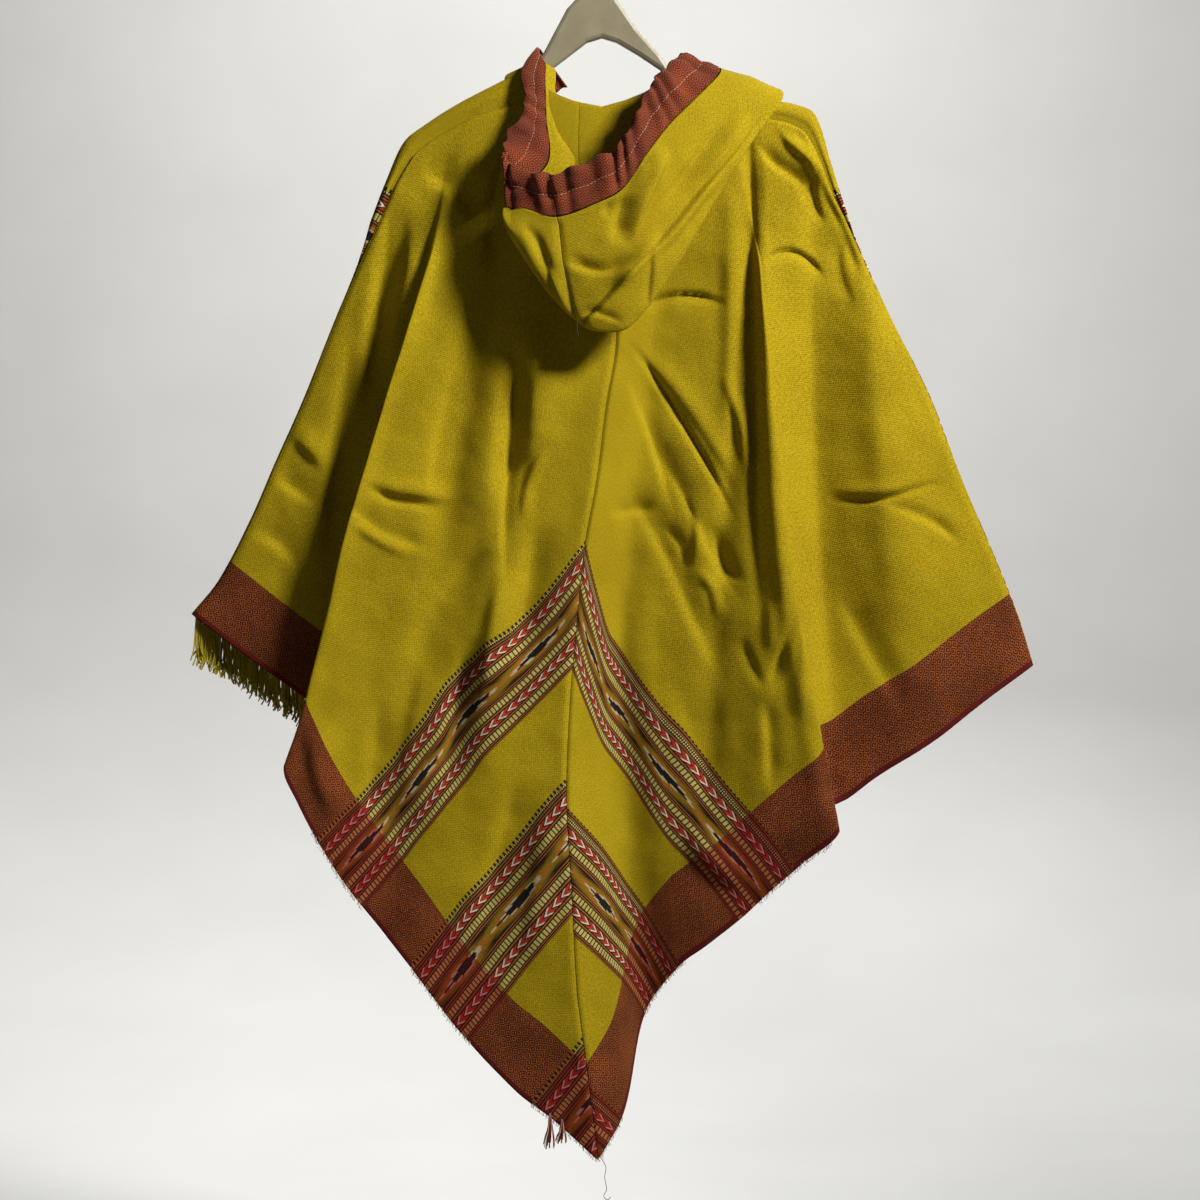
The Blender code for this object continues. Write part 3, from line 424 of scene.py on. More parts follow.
def back_flat(hem_length, t, w):
    """Place on the flat cut: u along the hem from the tip, v up from the hem."""
    top_u = LEG + 0.02 * t[None, :] + 0 * w[:, None]
    top_v = LEG - 0.233 * t[None, :]
    seam = LEG * (1 - w[:, None])
    side_u = hem_length + (LEG + 0.02 - hem_length) * (1 - w[:, None])
    side_v = 0.54 * (1 - w[:, None])
    tt, ww = t[None, :], w[:, None]
    u = (top_u * (1 - ww) + hem_length * tt * ww + seam * (1 - tt) + side_u * tt
         - (LEG * (1 - tt) + (LEG + 0.02) * tt) * (1 - ww) - hem_length * tt * ww)
    v = (top_v * (1 - ww) + seam * (1 - tt) + side_v * tt
         - (LEG * (1 - tt) + 0.54 * tt) * (1 - ww))
    return np.stack([u, v], axis=-1)


class Pattern:
    """Shorthand for the maths of a woven pattern inside one material."""

    def __init__(self, material):
        material.use_nodes = True
        self.tree = material.node_tree
        self.shader = self.tree.nodes["Principled BSDF"]

    def node(self, kind, inputs=(), **settings):
        made = self.tree.nodes.new(kind)
        for key, value in settings.items():
            setattr(made, key, value)
        for key, value in dict(inputs).items():
            self.feed(made.inputs[key], value)
        return made

    def feed(self, socket, value):
        if isinstance(value, bpy.types.NodeSocket):
            self.tree.links.new(value, socket)
        else:
            socket.default_value = value

    def math(self, operation, a, b=0.0, c=0.0):
        return self.node("ShaderNodeMath", {0: a, 1: b, 2: c}, operation=operation).outputs[0]

    def add(self, a, b):
        return self.math("ADD", a, b)

    def times(self, a, b):
        return self.math("MULTIPLY", a, b)

    def between(self, value, low, high, soft=0.0003):
        """1 between low and high, with soft sides."""
        rise = self.node("ShaderNodeMapRange", {0: value, 1: low - soft, 2: low + soft}).outputs[0]
        falling = {0: value, 1: high - soft, 2: high + soft, 3: 1.0, 4: 0.0}
        fall = self.node("ShaderNodeMapRange", falling).outputs[0]
        return self.times(rise, fall)

    def repeat(self, value, pitch):
        """Share of the way through each repeat."""
        return self.math("FRACT", self.times(value, 1.0 / pitch))

    def grain(self, vector, scale, detail=2.0, roughness=0.5):
        settings = {"Vector": vector, "Scale": scale, "Detail": detail, "Roughness": roughness}
        return self.node("ShaderNodeTexNoise", settings).outputs[0]

    def ramp(self, value, stops, interpolation="LINEAR"):
        made = self.node("ShaderNodeValToRGB", {0: value})
        made.color_ramp.interpolation = interpolation
        while len(made.color_ramp.elements) < len(stops):
            made.color_ramp.elements.new(0.5)
        for element, (place, colour) in zip(made.color_ramp.elements, stops):
            element.position = place
            element.color = (*colour, 1.0)
        return made.outputs[0]

    def mix(self, share, a, b, blend="MIX"):
        made = self.node("ShaderNodeMix", {0: share}, data_type="RGBA", blend_type=blend)
        self.feed(made.inputs[6], a if isinstance(a, bpy.types.NodeSocket) else (*a, 1.0))
        self.feed(made.inputs[7], b if isinstance(b, bpy.types.NodeSocket) else (*b, 1.0))
        return made.outputs[2]


OLIVE = (0.395, 0.278, 0.0036)
OLIVE_DEEP = (0.205, 0.137, 0.002)
OLIVE_PALE = (0.545, 0.400, 0.012)
BRICK = (0.115, 0.019, 0.008)
BRICK_GOLD = (0.34, 0.098, 0.024)
BRICK_DARK = (0.030, 0.004, 0.003)
SELVEDGE = (0.150, 0.010, 0.010)
BAND_BROWN = (0.026, 0.007, 0.004)
BAND_ORANGE = (0.30, 0.105, 0.022)
CELL = (0.60, 0.50, 0.17)
CELL_TICK = (0.030, 0.018, 0.006)
RED = (0.42, 0.035, 0.018)
CREAM = (0.72, 0.60, 0.42)
IKAT_BLACK = (0.012, 0.010, 0.008)
IKAT_CREAM = (0.48, 0.42, 0.27)
IKAT_ORANGE = (0.36, 0.12, 0.014)
IKAT_GROUND = (0.15, 0.085, 0.012)
BORDER_WIDTH = 0.070
SELVEDGE_WIDTH = 0.0055

# Rows of one stripe band from its upper edge down: kind and width in metres
Row = namedtuple("Row", "kind width")
LOWER_ROWS = [
    Row("arrows", 0.0090), Row("lines", 0.0035), Row("ladder", 0.0080), Row("lines", 0.0055), Row("ikat", 0.0190),
    Row("lines", 0.0055), Row("ladder", 0.0080), Row("lines", 0.0040), Row("arrows", 0.0088),
    Row("lines", 0.0035),
    Row("ladder", 0.0078), Row("lines", 0.0050),
]
LEFT_ROWS = [Row("dots", 0.0040), Row("beads", 0.0026), Row("lines", 0.0058), *LOWER_ROWS]
RIGHT_ROWS = [Row("dots", 0.0012), Row("lines", 0.0060), Row("beads", 0.0056), Row("lines", 0.0026), *LOWER_ROWS]


DIAMOND_PITCH = 0.0088
DIAMOND_STEP = 0.34


def jacquard_cloth(p, uv, u, v, fuzz, wear_scale, worn_low, worn_high):
    """Small stepped diamonds in two threads, unevenly worn: the diamonds and their colour."""
    off_u = p.math("ABSOLUTE", p.add(p.repeat(u, DIAMOND_PITCH), -0.5))
    off_v = p.math("ABSOLUTE", p.add(p.repeat(v, DIAMOND_PITCH), -0.5))
    diamond = p.math("GREATER_THAN", p.repeat(p.add(off_u, off_v), DIAMOND_STEP), 0.5)
    thread = p.add(p.times(diamond, 0.42), p.times(fuzz, 0.70))
    colour = p.ramp(thread, [(0.26, BRICK_DARK), (0.48, BRICK), (0.84, BRICK_GOLD)])
    worn = p.ramp(p.grain(uv, wear_scale, 2.0), [(0.35, worn_low), (0.65, worn_high)])
    return diamond, p.mix(1.0, colour, worn, "MULTIPLY")


def twill(name, bands, rows=LEFT_ROWS, border=True):
    """The woven cloth: olive twill with its border along v = 0 and bands at the given u ranges."""
    material = bpy.data.materials.new(name)
    p = Pattern(material)
    uv = p.node("ShaderNodeUVMap", uv_map="flat").outputs[0]
    split = p.node("ShaderNodeSeparateXYZ", {0: uv})
    u, v = split.outputs[0], split.outputs[1]
    place = p.node("ShaderNodeTexCoord").outputs["Object"]

    blotch = p.grain(place, 9.0, 3.0)
    slub = p.grain(p.node("ShaderNodeMapping", {0: uv, 3: (260.0, 1500.0, 1.0)}).outputs[0], 1.0, 2.0)
    pill = p.grain(uv, 1100.0, 3.0, 0.7)
    stray = p.times(p.grain(uv, 130.0, 2.0), 0.0034)
    rib = p.math("SINE", p.times(p.add(p.add(u, v), stray), 2 * math.pi / 0.0025))
    cross = p.math("SINE", p.times(p.add(p.add(u, p.times(v, -1.0)), stray), 2 * math.pi / 0.0031))
    weave = p.add(p.times(rib, 0.30), p.times(cross, 0.20))
    knot = p.grain(uv, 420.0, 2.0, 0.6)
    tone = p.add(p.add(p.times(blotch, 0.30), p.times(slub, 0.14)),
                 p.add(p.times(pill, 0.26), p.times(knot, 0.30)))
    tone = p.add(tone, p.times(weave, 0.22))
    colour = p.ramp(tone, [(0.28, OLIVE_DEEP), (0.50, OLIVE), (0.74, OLIVE_PALE)])

    over_border = p.between(v, -0.1, BORDER_WIDTH, 0.0004)
    if border:
        jacquard = jacquard_cloth(p, uv, u, v, knot, 14.0, (0.75, 0.70, 0.70), (1.2, 1.15, 1.1))[1]
        edge_red = p.mix(p.times(pill, 0.6), SELVEDGE, BRICK_DARK)
        jacquard = p.mix(p.between(v, -0.1, SELVEDGE_WIDTH, 0.0005), jacquard, edge_red)
        colour = p.mix(over_border, colour, jacquard)

    for low, high in bands:
        scale = (high - low) / sum(row.width for row in rows)
        inside = p.between(u, low, high, 0.0004)
        across = p.math("SUBTRACT", high, u)
        band = None
        start = 0.0
        for number, row in enumerate(rows):
            width = row.width * scale
            local = p.times(p.add(across, -start), 1.0 / width)
            if row.kind == "lines":
                stripe = p.math("COSINE", p.times(local, math.pi * 2 * max(1, round(row.width / 0.0028))))
                inner = p.mix(p.math("GREATER_THAN", stripe, -0.25), BAND_ORANGE, BAND_BROWN)
            elif row.kind == "dots":
                inner = p.mix(p.math("GREATER_THAN", p.repeat(v, 0.0054), 0.52), IKAT_BLACK, OLIVE)
            elif row.kind == "beads":
                bead = p.math("GREATER_THAN", p.repeat(v, 0.0025), 0.45)
                turns = 2 * math.pi * round(row.width / 0.0028)
                line = p.math("GREATER_THAN", p.math("SINE", p.times(local, turns)), -0.3)
                inner = p.mix(p.times(bead, line), BAND_BROWN, CELL)
            elif row.kind == "ladder":
                tick = p.math("GREATER_THAN", p.repeat(v, 0.0048), 0.66)
                side = p.math("GREATER_THAN", p.math("ABSOLUTE", p.add(local, -0.5)), 0.43)
                shade = p.mix(p.grain(uv, 38.0, 1.0), CELL, (0.44, 0.34, 0.06))
                inner = p.mix(p.math("MAXIMUM", p.times(tick, 0.9), side), shade, CELL_TICK)
            elif row.kind == "arrows":
                slope = p.math("ABSOLUTE", p.add(local, -0.5))
                phase = p.repeat(p.add(p.times(v, -1.0), p.times(slope, 0.019)), 0.0140)
                red = p.between(phase, 0.05, 0.52, 0.04)
                white = p.between(phase, 0.58, 0.84, 0.04)
                inner = p.mix(red, BAND_BROWN, RED)
                inner = p.mix(white, inner, CREAM)
                inner = p.mix(p.math("GREATER_THAN", slope, 0.44), inner, BAND_BROWN)
            else:
                # dyed warp: long lenses, every thread shifted a little so that they feather
                thread = p.math("FLOOR", p.times(local, 11.0))
                shift = p.node("ShaderNodeTexWhiteNoise", {"W": p.add(thread, 20.0 * number + 90.0 * high)},
                               noise_dimensions="1D").outputs[0]
                phase = p.add(p.times(v, 1.0 / 0.100), p.add(p.times(shift, 0.14), p.times(thread, -0.016)))
                along = p.math("ABSOLUTE", p.add(p.repeat(phase, 1.0), -0.5))
                aside = p.math("ABSOLUTE", p.add(p.times(thread, 1 / 11.0), -0.45))
                lens = p.add(along, p.times(aside, 1.15))
                inner = p.ramp(lens, [
                    (0.00, IKAT_BLACK), (0.30, IKAT_BLACK), (0.32, IKAT_CREAM), (0.39, IKAT_CREAM),
                    (0.42, IKAT_ORANGE), (0.54, IKAT_ORANGE), (0.58, OLIVE_DEEP), (0.68, OLIVE_DEEP),
                    (0.74, IKAT_GROUND), (0.92, BAND_BROWN)])
            if band is None:
                band = inner
            else:
                band = p.mix(p.between(across, start, 1.0, 0.00015), band, inner)
            start += width
        reddened = p.mix(0.12, p.mix(1.0, band, (0.80, 0.32, 0.40), "MULTIPLY"), (0.20, 0.010, 0.016))
        over = p.mix(over_border, band, reddened)
        colour = p.mix(inside, colour, over if border else band)

    speck = p.ramp(knot, [(0.30, (0.80, 0.80, 0.80)), (0.55, (1.0, 1.0, 1.0)), (0.78, (1.14, 1.14, 1.12))])
    colour = p.mix(0.8, colour, speck, "MULTIPLY")
    p.feed(p.shader.inputs["Base Color"], colour)
    rough = p.node("ShaderNodeMapRange", {0: pill, 3: 0.74, 4: 0.95}).outputs[0]
    p.feed(p.shader.inputs["Roughness"], rough)
    p.shader.inputs["Sheen Weight"].default_value = 0.10
    p.shader.inputs["Sheen Roughness"].default_value = 0.5
    p.shader.inputs["Sheen Tint"].default_value = (0.55, 0.45, 0.05, 1.0)
    p.shader.inputs["Specular IOR Level"].default_value = 0.12
    height = p.add(p.add(p.times(weave, 0.45), p.times(pill, 1.0)), p.times(slub, 0.3))
    bump = p.node("ShaderNodeBump", {"Height": height, "Strength": 0.9, "Distance": 0.0007})
    p.feed(p.shader.inputs["Normal"], bump.outputs[0])
    return material


LEFT_BANDS = [(-0.010, 0.091), (0.180, 0.281), (0.361, 0.457)]
RIGHT_BANDS = [(-0.040, 0.054), (0.165, 0.260), (0.361, 0.457)]
left_twill = twill("olive_twill_left_bands", LEFT_BANDS, LEFT_ROWS)
right_twill = twill("olive_twill_right_bands", RIGHT_BANDS, RIGHT_ROWS)


def column_shares(count):
    near = np.linspace(0.0, SEAM_ZONE, SEAM_COLUMNS)
    far = np.linspace(EDGE_ZONE, 1.0, EDGE_COLUMNS)
    return np.concatenate([near, np.linspace(SEAM_ZONE, EDGE_ZONE, count)[1:-1], far])


def dress_back(name, sign, hem, neck, edge, shoulder, folds, creases, material, node):
    t = column_shares(BACK_COLUMNS)
    w = np.concatenate([np.linspace(0.0, 0.010, 5), np.linspace(0.010, 1.0, BACK_ROWS)[1:]])
    points = back_points(sign, hem, neck, edge, shoulder, folds, creases, t, w)
    width = np.linalg.norm(points[:, -1] - points[:, 0], axis=-1)[:, None]
    take_up, stray_fade = LEFT_WEAR if sign < 0 else RIGHT_WEAR
    flat = taken_up(points, back_flat(hem[-1][0], t, w), take_up)
    heights, shifts = np.array(LEFT_STRAY if sign < 0 else RIGHT_STRAY).T
    stray = smooth_curve(heights, shifts, flat[..., 0].ravel()).reshape(flat.shape[:2])
    stray *= np.sin(math.pi / 2 * np.minimum(t / STRAY_START, 1.0))[None, :]
    flat[..., 0] += stray * (1 - stray_fade * ease(0.80, 1.0, w))[:, None]
    points[..., 1] += SEAM_DIP * np.exp(-((t[None, :] * width) / SEAM_DIP_WIDTH) ** 2)
    to_edge = np.minimum((1 - t[None, :]) * width, w[:, None] * 1.0)
    points[..., 1] += EDGE_DIP * np.exp(-(to_edge / EDGE_DIP_WIDTH) ** 2)
    piece = cloth_mesh(name, points, flat, CLOTH, material)
    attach(piece, "root")
    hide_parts(node)


dress_back("cloth_back_left", -1, LEFT_HEM, LEFT_NECK, LEFT_EDGE, LEFT_SHOULDER,
           LEFT_FOLDS, LEFT_CREASES, left_twill, "back_left")
dress_back("cloth_back_right", 1, RIGHT_HEM, RIGHT_NECK, RIGHT_EDGE, RIGHT_SHOULDER,
           RIGHT_FOLDS, RIGHT_CREASES, right_twill, "back_right")


# The front: one panel of the same twill, turned over both shoulders and side edges on to the
# back's seam line. Its three stripe bands follow its pointed hem, which ends in a loose fringe.
FRONT_NECK = np.array((0.002, 0.018, -0.208))
FRONT_POINT = np.array((0.000, 0.030, -1.003))
FRONT_RIGHT_END = 0.732
FRONT_TURN = 0.030
FRONT_SLACK = 0.001
FRONT_DEPTH = 0.013
FRONT_DEPTH_GAIN = 0.003
FRONT_WAVE = 0.007
FRONT_EDGE_DEPTH = 0.0012
FRONT_OPEN_DEPTH = 0.008
FRONT_EDGE_GAP = 0.0010
FRONT_WRAP = 0.4
FRONT_ROWS = 200
HEM_RISE = (0.863, 0.505)
SEAM_ALLOWANCE = 0.006
FRONT_HALF_COLUMNS = 78


def front_half(edge, edge_end, q, row):
    """Points of half the front, q from the seam (0) over the turned edge to the centre (1)."""
    distance = edge_end * row
    table = np.array(edge, float)
    found = smooth_curve(table[:, 0], table[:, 1:], distance)
    start = np.stack([found[:, 0], 0 * row, -found[:, 1]], axis=1)[:, None, :]
    turn = np.stack([found[:, 3], 0 * row, -found[:, 4]], axis=1)[:, None, :]
    depth = found[:, 2][:, None]
    centre = (FRONT_NECK + (FRONT_POINT - FRONT_NECK) * row[:, None])[:, None, :]
    over = np.clip((depth - FRONT_EDGE_DEPTH) / FRONT_OPEN_DEPTH, 0.0, 1.0)
    first = depth * over - FRONT_EDGE_DEPTH * (1 - over)
    last = -(FRONT_DEPTH + FRONT_DEPTH_GAIN * row[:, None])
    inward = (centre - start) * np.array((1.0, 0.0, 1.0))
    inward = inward / np.linalg.norm(inward, axis=-1, keepdims=True)
    angle = math.pi * np.minimum(q / FRONT_WRAP, 1.0)[None, :]
    shift = (FRONT_TURN * (1 - over) + FRONT_SLACK) * (1 - np.cos(angle)) / 2
    shift = shift - FRONT_EDGE_GAP * (1 + np.cos(angle)) / 2
    wrapped = start + (turn - start) * np.sin(angle)[..., None] + inward * shift[..., None]
    wrapped[..., 1] = -((first + last) / 2 + (first - last) / 2 * np.cos(angle))
    u = np.clip((q - FRONT_WRAP) / (1 - FRONT_WRAP), 0.0, 1.0)[None, :]
    inner = wrapped[:, -1:] * (1 - u[..., None]) + centre * u[..., None]
    inner[..., 1] = wrapped[:, -1:, 1] + (centre[..., 1] - wrapped[:, -1:, 1]) * np.sin(math.pi / 2 * u)
    deep = ease(0.15, 0.8, row)[:, None]
    inner[..., 1] += FRONT_WAVE * np.sin(math.pi * u) * np.sin(6 * math.pi * u) * deep
    points = np.where((q > FRONT_WRAP)[None, :, None], inner, wrapped)
    tuck = np.maximum(0.0, 1 - q / 0.02)[None, :, None]
    points = points + tuck * (inward * SEAM_ALLOWANCE + np.array((0.0, 0.0016, 0.0)))
    points[..., 1] += EDGE_DIP * np.exp(-(np.maximum(q - 0.02, 0.0) / 0.03) ** 2)[None, :]
    rim = ease(0.45, 0.62, q)[None, :] * ease(0.0, 0.08, row)[:, None]
    points[..., 1] += (crumple(points, 0.05, 0.0024, 4.0) + crumple(points, 0.016, 0.0005, 5.0)) * rim
    return points


front_q = np.concatenate([[0.0, 0.01], np.linspace(0.02, 1.0, FRONT_HALF_COLUMNS) ** 1.15 + 0.009])
front_q = np.minimum(front_q, 1.0)
front_row = np.linspace(0.0, 1.0, FRONT_ROWS)
shoulder_left = LEFT_SHOULDER / LEFT_EDGE[-1][0]
shoulder_right = RIGHT_SHOULDER / FRONT_RIGHT_END
right_row = np.where(front_row <= shoulder_left, shoulder_right * front_row / shoulder_left,
                     shoulder_right + (1 - shoulder_right) * (front_row - shoulder_left) / (1 - shoulder_left))
left_part = front_half(LEFT_EDGE, LEFT_EDGE[-1][0], front_q, front_row)
right_part = front_half(RIGHT_EDGE, FRONT_RIGHT_END, front_q, right_row)
front_points = np.concatenate([left_part, right_part[:, ::-1][:, 1:]], axis=1)


def front_flat(points):
    """u from the fringed hem upwards, square to the hem, and v along the hem from its point."""
    mitred = ease(0.10, 0.22, front_row)[:, None]
    across = mitred * np.abs(points[..., 0]) + (1 - mitred) * points[..., 0]
    above = points[..., 2] - FRONT_POINT[2]
    u = HEM_RISE[0] * above - HEM_RISE[1] * across + 0.016 * ease(0.05, 0.20, points[..., 0])
    v = HEM_RISE[0] * across + HEM_RISE[1] * above
    return np.stack([u, v + 0.1], axis=-1)


FRONT_BANDS = [(0.030, 0.126), (0.215, 0.312), (0.392, 0.505)]
front_twill = twill("olive_twill_front", FRONT_BANDS, LEFT_ROWS, border=False)
front = cloth_mesh("cloth_front", front_points, front_flat(front_points), CLOTH, front_twill)
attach(front, "root")
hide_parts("front")


# The hood: a deep pouch of the same twill in two halves, sewn to the neckline and hanging down
# the back. Its edge is bound with a casing of border cloth, gathered a little and stitched.
HoodStation = namedtuple("HoodStation", "rim fold under neck roll turn")
FLAT = (0.0, 0.0, 0.0)
HOOD = [
    HoodStation((-0.034, 0.172, -0.026), (-0.070, 0.194, -0.032), (-0.058, 0.194, -0.024), -1.85, 0.0025, FLAT),
    HoodStation((-0.057, 0.142, -0.018), (-0.106, 0.172, -0.030), (-0.089, 0.174, -0.018), -1.38, 0.0025, FLAT),
    HoodStation((-0.065, 0.1385, 0.002), (-0.052, 0.156, -0.004), (-0.096, 0.166, -0.002), -1.18, 0.0025,
                (0.0, 0.0, 0.0)),
    HoodStation((-0.0795, 0.166, 0.021), (-0.046, 0.186, 0.010), (-0.098, 0.180, 0.004), -1.08, 0.0025,
                (0.007, 0.002, 0.001)),
    HoodStation((-0.0750, 0.204, 0.037), (-0.042, 0.226, 0.022), (-0.084, 0.216, 0.014), -0.98, 0.0025,
                (0.004, 0.002, 0.0)),
    HoodStation((-0.0945, 0.2415, 0.058), (-0.026, 0.272, 0.038), (-0.045, 0.262, 0.026), -0.92, 0.003,
                (0.0075, 0.013, 0.002)),
    HoodStation((-0.0985, 0.262, 0.070), (-0.088, 0.325, 0.056), (-0.070, 0.312, 0.038), -0.85, 0.004,
                (-0.002, 0.0155, 0.003)),
    HoodStation((-0.087, 0.276, 0.076), (-0.066, 0.385, 0.072), (-0.048, 0.365, 0.044), -0.60, 0.005, FLAT),
    HoodStation((-0.051, 0.286, 0.086), (-0.022, 0.436, 0.076), (-0.014, 0.400, 0.046), -0.33, 0.005, FLAT),
    HoodStation((-0.005, 0.271, 0.088), (0.014, 0.447, 0.076), (0.012, 0.405, 0.046), 0.00, 0.005, FLAT),
    HoodStation((0.022, 0.255, 0.086), (0.040, 0.434, 0.072), (0.034, 0.395, 0.045), 0.30, 0.005, FLAT),
    HoodStation((0.043, 0.217, 0.078), (0.078, 0.382, 0.064), (0.062, 0.350, 0.043), 0.58, 0.005, FLAT),
    HoodStation((0.057, 0.188, 0.066), (0.118, 0.313, 0.054), (0.095, 0.290, 0.038), 0.78, 0.005, FLAT),
    HoodStation((0.075, 0.164, 0.046), (0.158, 0.248, 0.042), (0.125, 0.235, 0.030), 0.93, 0.005, FLAT),
    HoodStation((0.088, 0.150, 0.022), (0.192, 0.200, 0.028), (0.150, 0.196, 0.022), 1.05, 0.005, FLAT),
    HoodStation((0.086, 0.144, 0.000), (0.192, 0.183, 0.003), (0.148, 0.175, 0.003), 1.18, 0.005, FLAT),
    HoodStation((0.080, 0.150, -0.017), (0.178, 0.190, -0.022), (0.138, 0.184, -0.020), 1.38, 0.005, FLAT),
    HoodStation((0.060, 0.174, -0.027), (0.130, 0.206, -0.033), (0.104, 0.202, -0.025), 1.58, 0.005, FLAT),
    HoodStation((0.026, 0.196, -0.029), (0.066, 0.216, -0.035), (0.052, 0.214, -0.027), 1.85, 0.005, FLAT),
]
HOOD_SEAM = 8
HOOD_BELLY = 0.25
HOOD_ROLL = 0.004
HOOD_NECK_GAP = 0.0009
HOOD_BEHIND = 0.25
CASING_WIDTH = 0.045
CASING_SHARE = 0.5
CASING_WALL = 0.0020
CASING_GAP = 0.0014
COLUMNS_PER_STATION = 26
HOOD_PROFILE_ROWS = (30, 34, 16, 8, 10, 6)
NECK_STEP = 0.03


def unit(vectors):
    return vectors / np.linalg.norm(vectors, axis=-1, keepdims=True)


def neck_ring(place):
    """Point of the neckline and the way the panel runs from it, at one place."""
    right = place > 0
    size = abs(place)
    neck, edge, hem, shoulder, folds = (
        (RIGHT_NECK, RIGHT_EDGE, RIGHT_HEM, RIGHT_SHOULDER, RIGHT_FOLDS) if right
        else (LEFT_NECK, LEFT_EDGE, LEFT_HEM, LEFT_SHOULDER, LEFT_FOLDS))
    ends = np.array((0.0, NECK_STEP))
    if size <= 1.0:
        t = np.array((edge_share(shoulder, neck) * size,))
        found = back_points(0, hem, neck, edge, shoulder, folds, [], np.array((0.0, t[0], 1.0)), ends)
        return found[0, 1], found[1, 1]
    edge_end = FRONT_RIGHT_END if right else LEFT_EDGE[-1][0]
    found = front_half(edge, edge_end, np.array((0.0, size - 1.0, FRONT_WRAP, 1.0)), ends)
    return found[0, 1], found[1, 1]


def hood_knots(positions):
    """Knots across the pouch for each position round the opening: (positions, 8 knots, 3)."""
    keys = np.arange(len(HOOD))
    table = np.array([[*s.rim, *s.fold, *s.under, *s.turn, s.neck, s.roll] for s in HOOD])
    found = smooth_curve(keys, table, positions)
    rim, fold, under, turn = (np.stack([found[:, k], -found[:, k + 2], -found[:, k + 1]], axis=1)
                              for k in (0, 3, 6, 9))
    ring, panel = (np.array(side) for side in zip(*[neck_ring(value) for value in found[:, 12]]))
    roll = found[:, 13:14]
    away = unit(ring - panel)
    length = np.linalg.norm(fold - rim, axis=1, keepdims=True)
    down = (fold - rim) / length
    seam = rim + down * np.minimum(CASING_WIDTH, length * CASING_SHARE) + turn
    near = (seam + fold) / 2
    outward = near - under
    outward -= down * np.sum(outward * down, axis=1, keepdims=True)
    belly = near + outward * (0.03 + (HOOD_BELLY - 0.03) * ease(3.0, 6.0, positions))[:, None]
    outward = unit(outward)
    neck = ring + away * HOOD_NECK_GAP
    rolled = neck + away * HOOD_ROLL + outward * roll
    behind = neck + (under - neck) * HOOD_BEHIND + outward * roll * 2
    return np.stack([rim, seam, belly, fold, under, behind, rolled, neck], axis=1), outward


def hood_strip(start, end, first, rows):
    """Points of a strip of the hood between two stations, from one knot of the profile on."""
    count = (end - start) * COLUMNS_PER_STATION + 1
    positions = np.linspace(start, end, count)
    knots, outward = hood_knots(positions)
    points = np.zeros((sum(rows) + 1, count, 3))
    for column in range(count):
        line = knots[column]
        keys = np.concatenate([[0.0], np.cumsum(np.linalg.norm(np.diff(line, axis=0), axis=1))])
        at = [keys[first]]
        for segment, number in enumerate(rows):
            low, high = keys[first + segment], keys[first + segment + 1]
            at.extend(low + (high - low) * (np.arange(number) + 1) / number)
        points[:, column] = smooth_curve(keys, line, at)
    return points, positions, outward


def strip_flat(points):
    """u round the opening and v across the strip, both along the cloth."""
    round_steps = np.linalg.norm(np.diff(points, axis=1), axis=-1).mean(axis=0)
    u = np.concatenate([[0.0], np.cumsum(round_steps)])
    steps = np.linalg.norm(np.diff(points, axis=0), axis=-1)
    v = np.concatenate([np.zeros((1, points.shape[1])), np.cumsum(steps, axis=0)], axis=0)
    return np.stack([np.repeat(u[None, :], len(points), axis=0), v + 0.1], axis=-1)


HOOD_CREASES = [
    Crease("long folded edge", [(0.187, 0.190), (0.172, 0.220), (0.146, 0.255), (0.110, 0.299), (0.076, 0.343),
                                (0.041, 0.382), (0.010, 0.417), (-0.012, 0.440), (-0.034, 0.464),
                                (-0.070, 0.505), (-0.110, 0.550)], 0.0034, 0.0052, 7.0),
    Crease("hollow under it", [(0.150, 0.268), (0.112, 0.310), (0.078, 0.354),
        (0.048, 0.390)], 0.007, -0.0022, 1.5),
    Crease("short crease by the tip", [(0.0515, 0.356), (0.053, 0.392), (0.050, 0.428)], 0.0036, -0.0018, -2.4),
    Crease("ridge to the tip", [(0.015, 0.408), (0.032, 0.388), (0.049, 0.367),
        (0.067, 0.343)], 0.0055, 0.0050, 2.4),
    Crease("ridge under the casing", [(0.074, 0.250), (0.060, 0.285), (0.045, 0.320),
        (0.032, 0.360)], 0.006, 0.0046, -3.0),
    Crease("hollow beside it", [(0.030, 0.300), (0.022, 0.330), (0.016, 0.360)], 0.009, -0.0030, 2.0),
    Crease("sagging drag line", [(-0.048, 0.368), (-0.020, 0.382), (0.010, 0.386),
        (0.049, 0.367)], 0.0044, -0.0034, 3.0),
    Crease("upper drag", [(0.150, 0.200), (0.128, 0.230), (0.100, 0.270), (0.056, 0.332)], 0.008, -0.0030, 2.0),
    Crease("roll beside it", [(0.160, 0.212), (0.136, 0.250), (0.100, 0.296)], 0.009, 0.0028, -2.0),
    Crease("pucker at the casing", [(0.046, 0.268), (0.036, 0.282), (0.022, 0.296)], 0.005, 0.0032, 2.0),
    Crease("second pucker", [(0.006, 0.292), (0.010, 0.312), (0.006, 0.334)], 0.006, -0.0024, 2.0),
    Crease("left drag", [(-0.078, 0.330), (-0.064, 0.360), (-0.052, 0.384),
        (-0.036, 0.410)], 0.006, -0.0030, 2.0),
    Crease("fold left of the seam", [(-0.060, 0.372), (-0.044, 0.396), (-0.030, 0.424),
        (-0.014, 0.439)], 0.0050, 0.0032, 2.0),
    Crease("tip pinch", [(-0.026, 0.434), (-0.006, 0.428), (0.012, 0.433),
        (0.030, 0.440)], 0.0036, -0.0014, 2.0),
]
hood_twill = twill("olive_twill_hood", [], (), border=False)
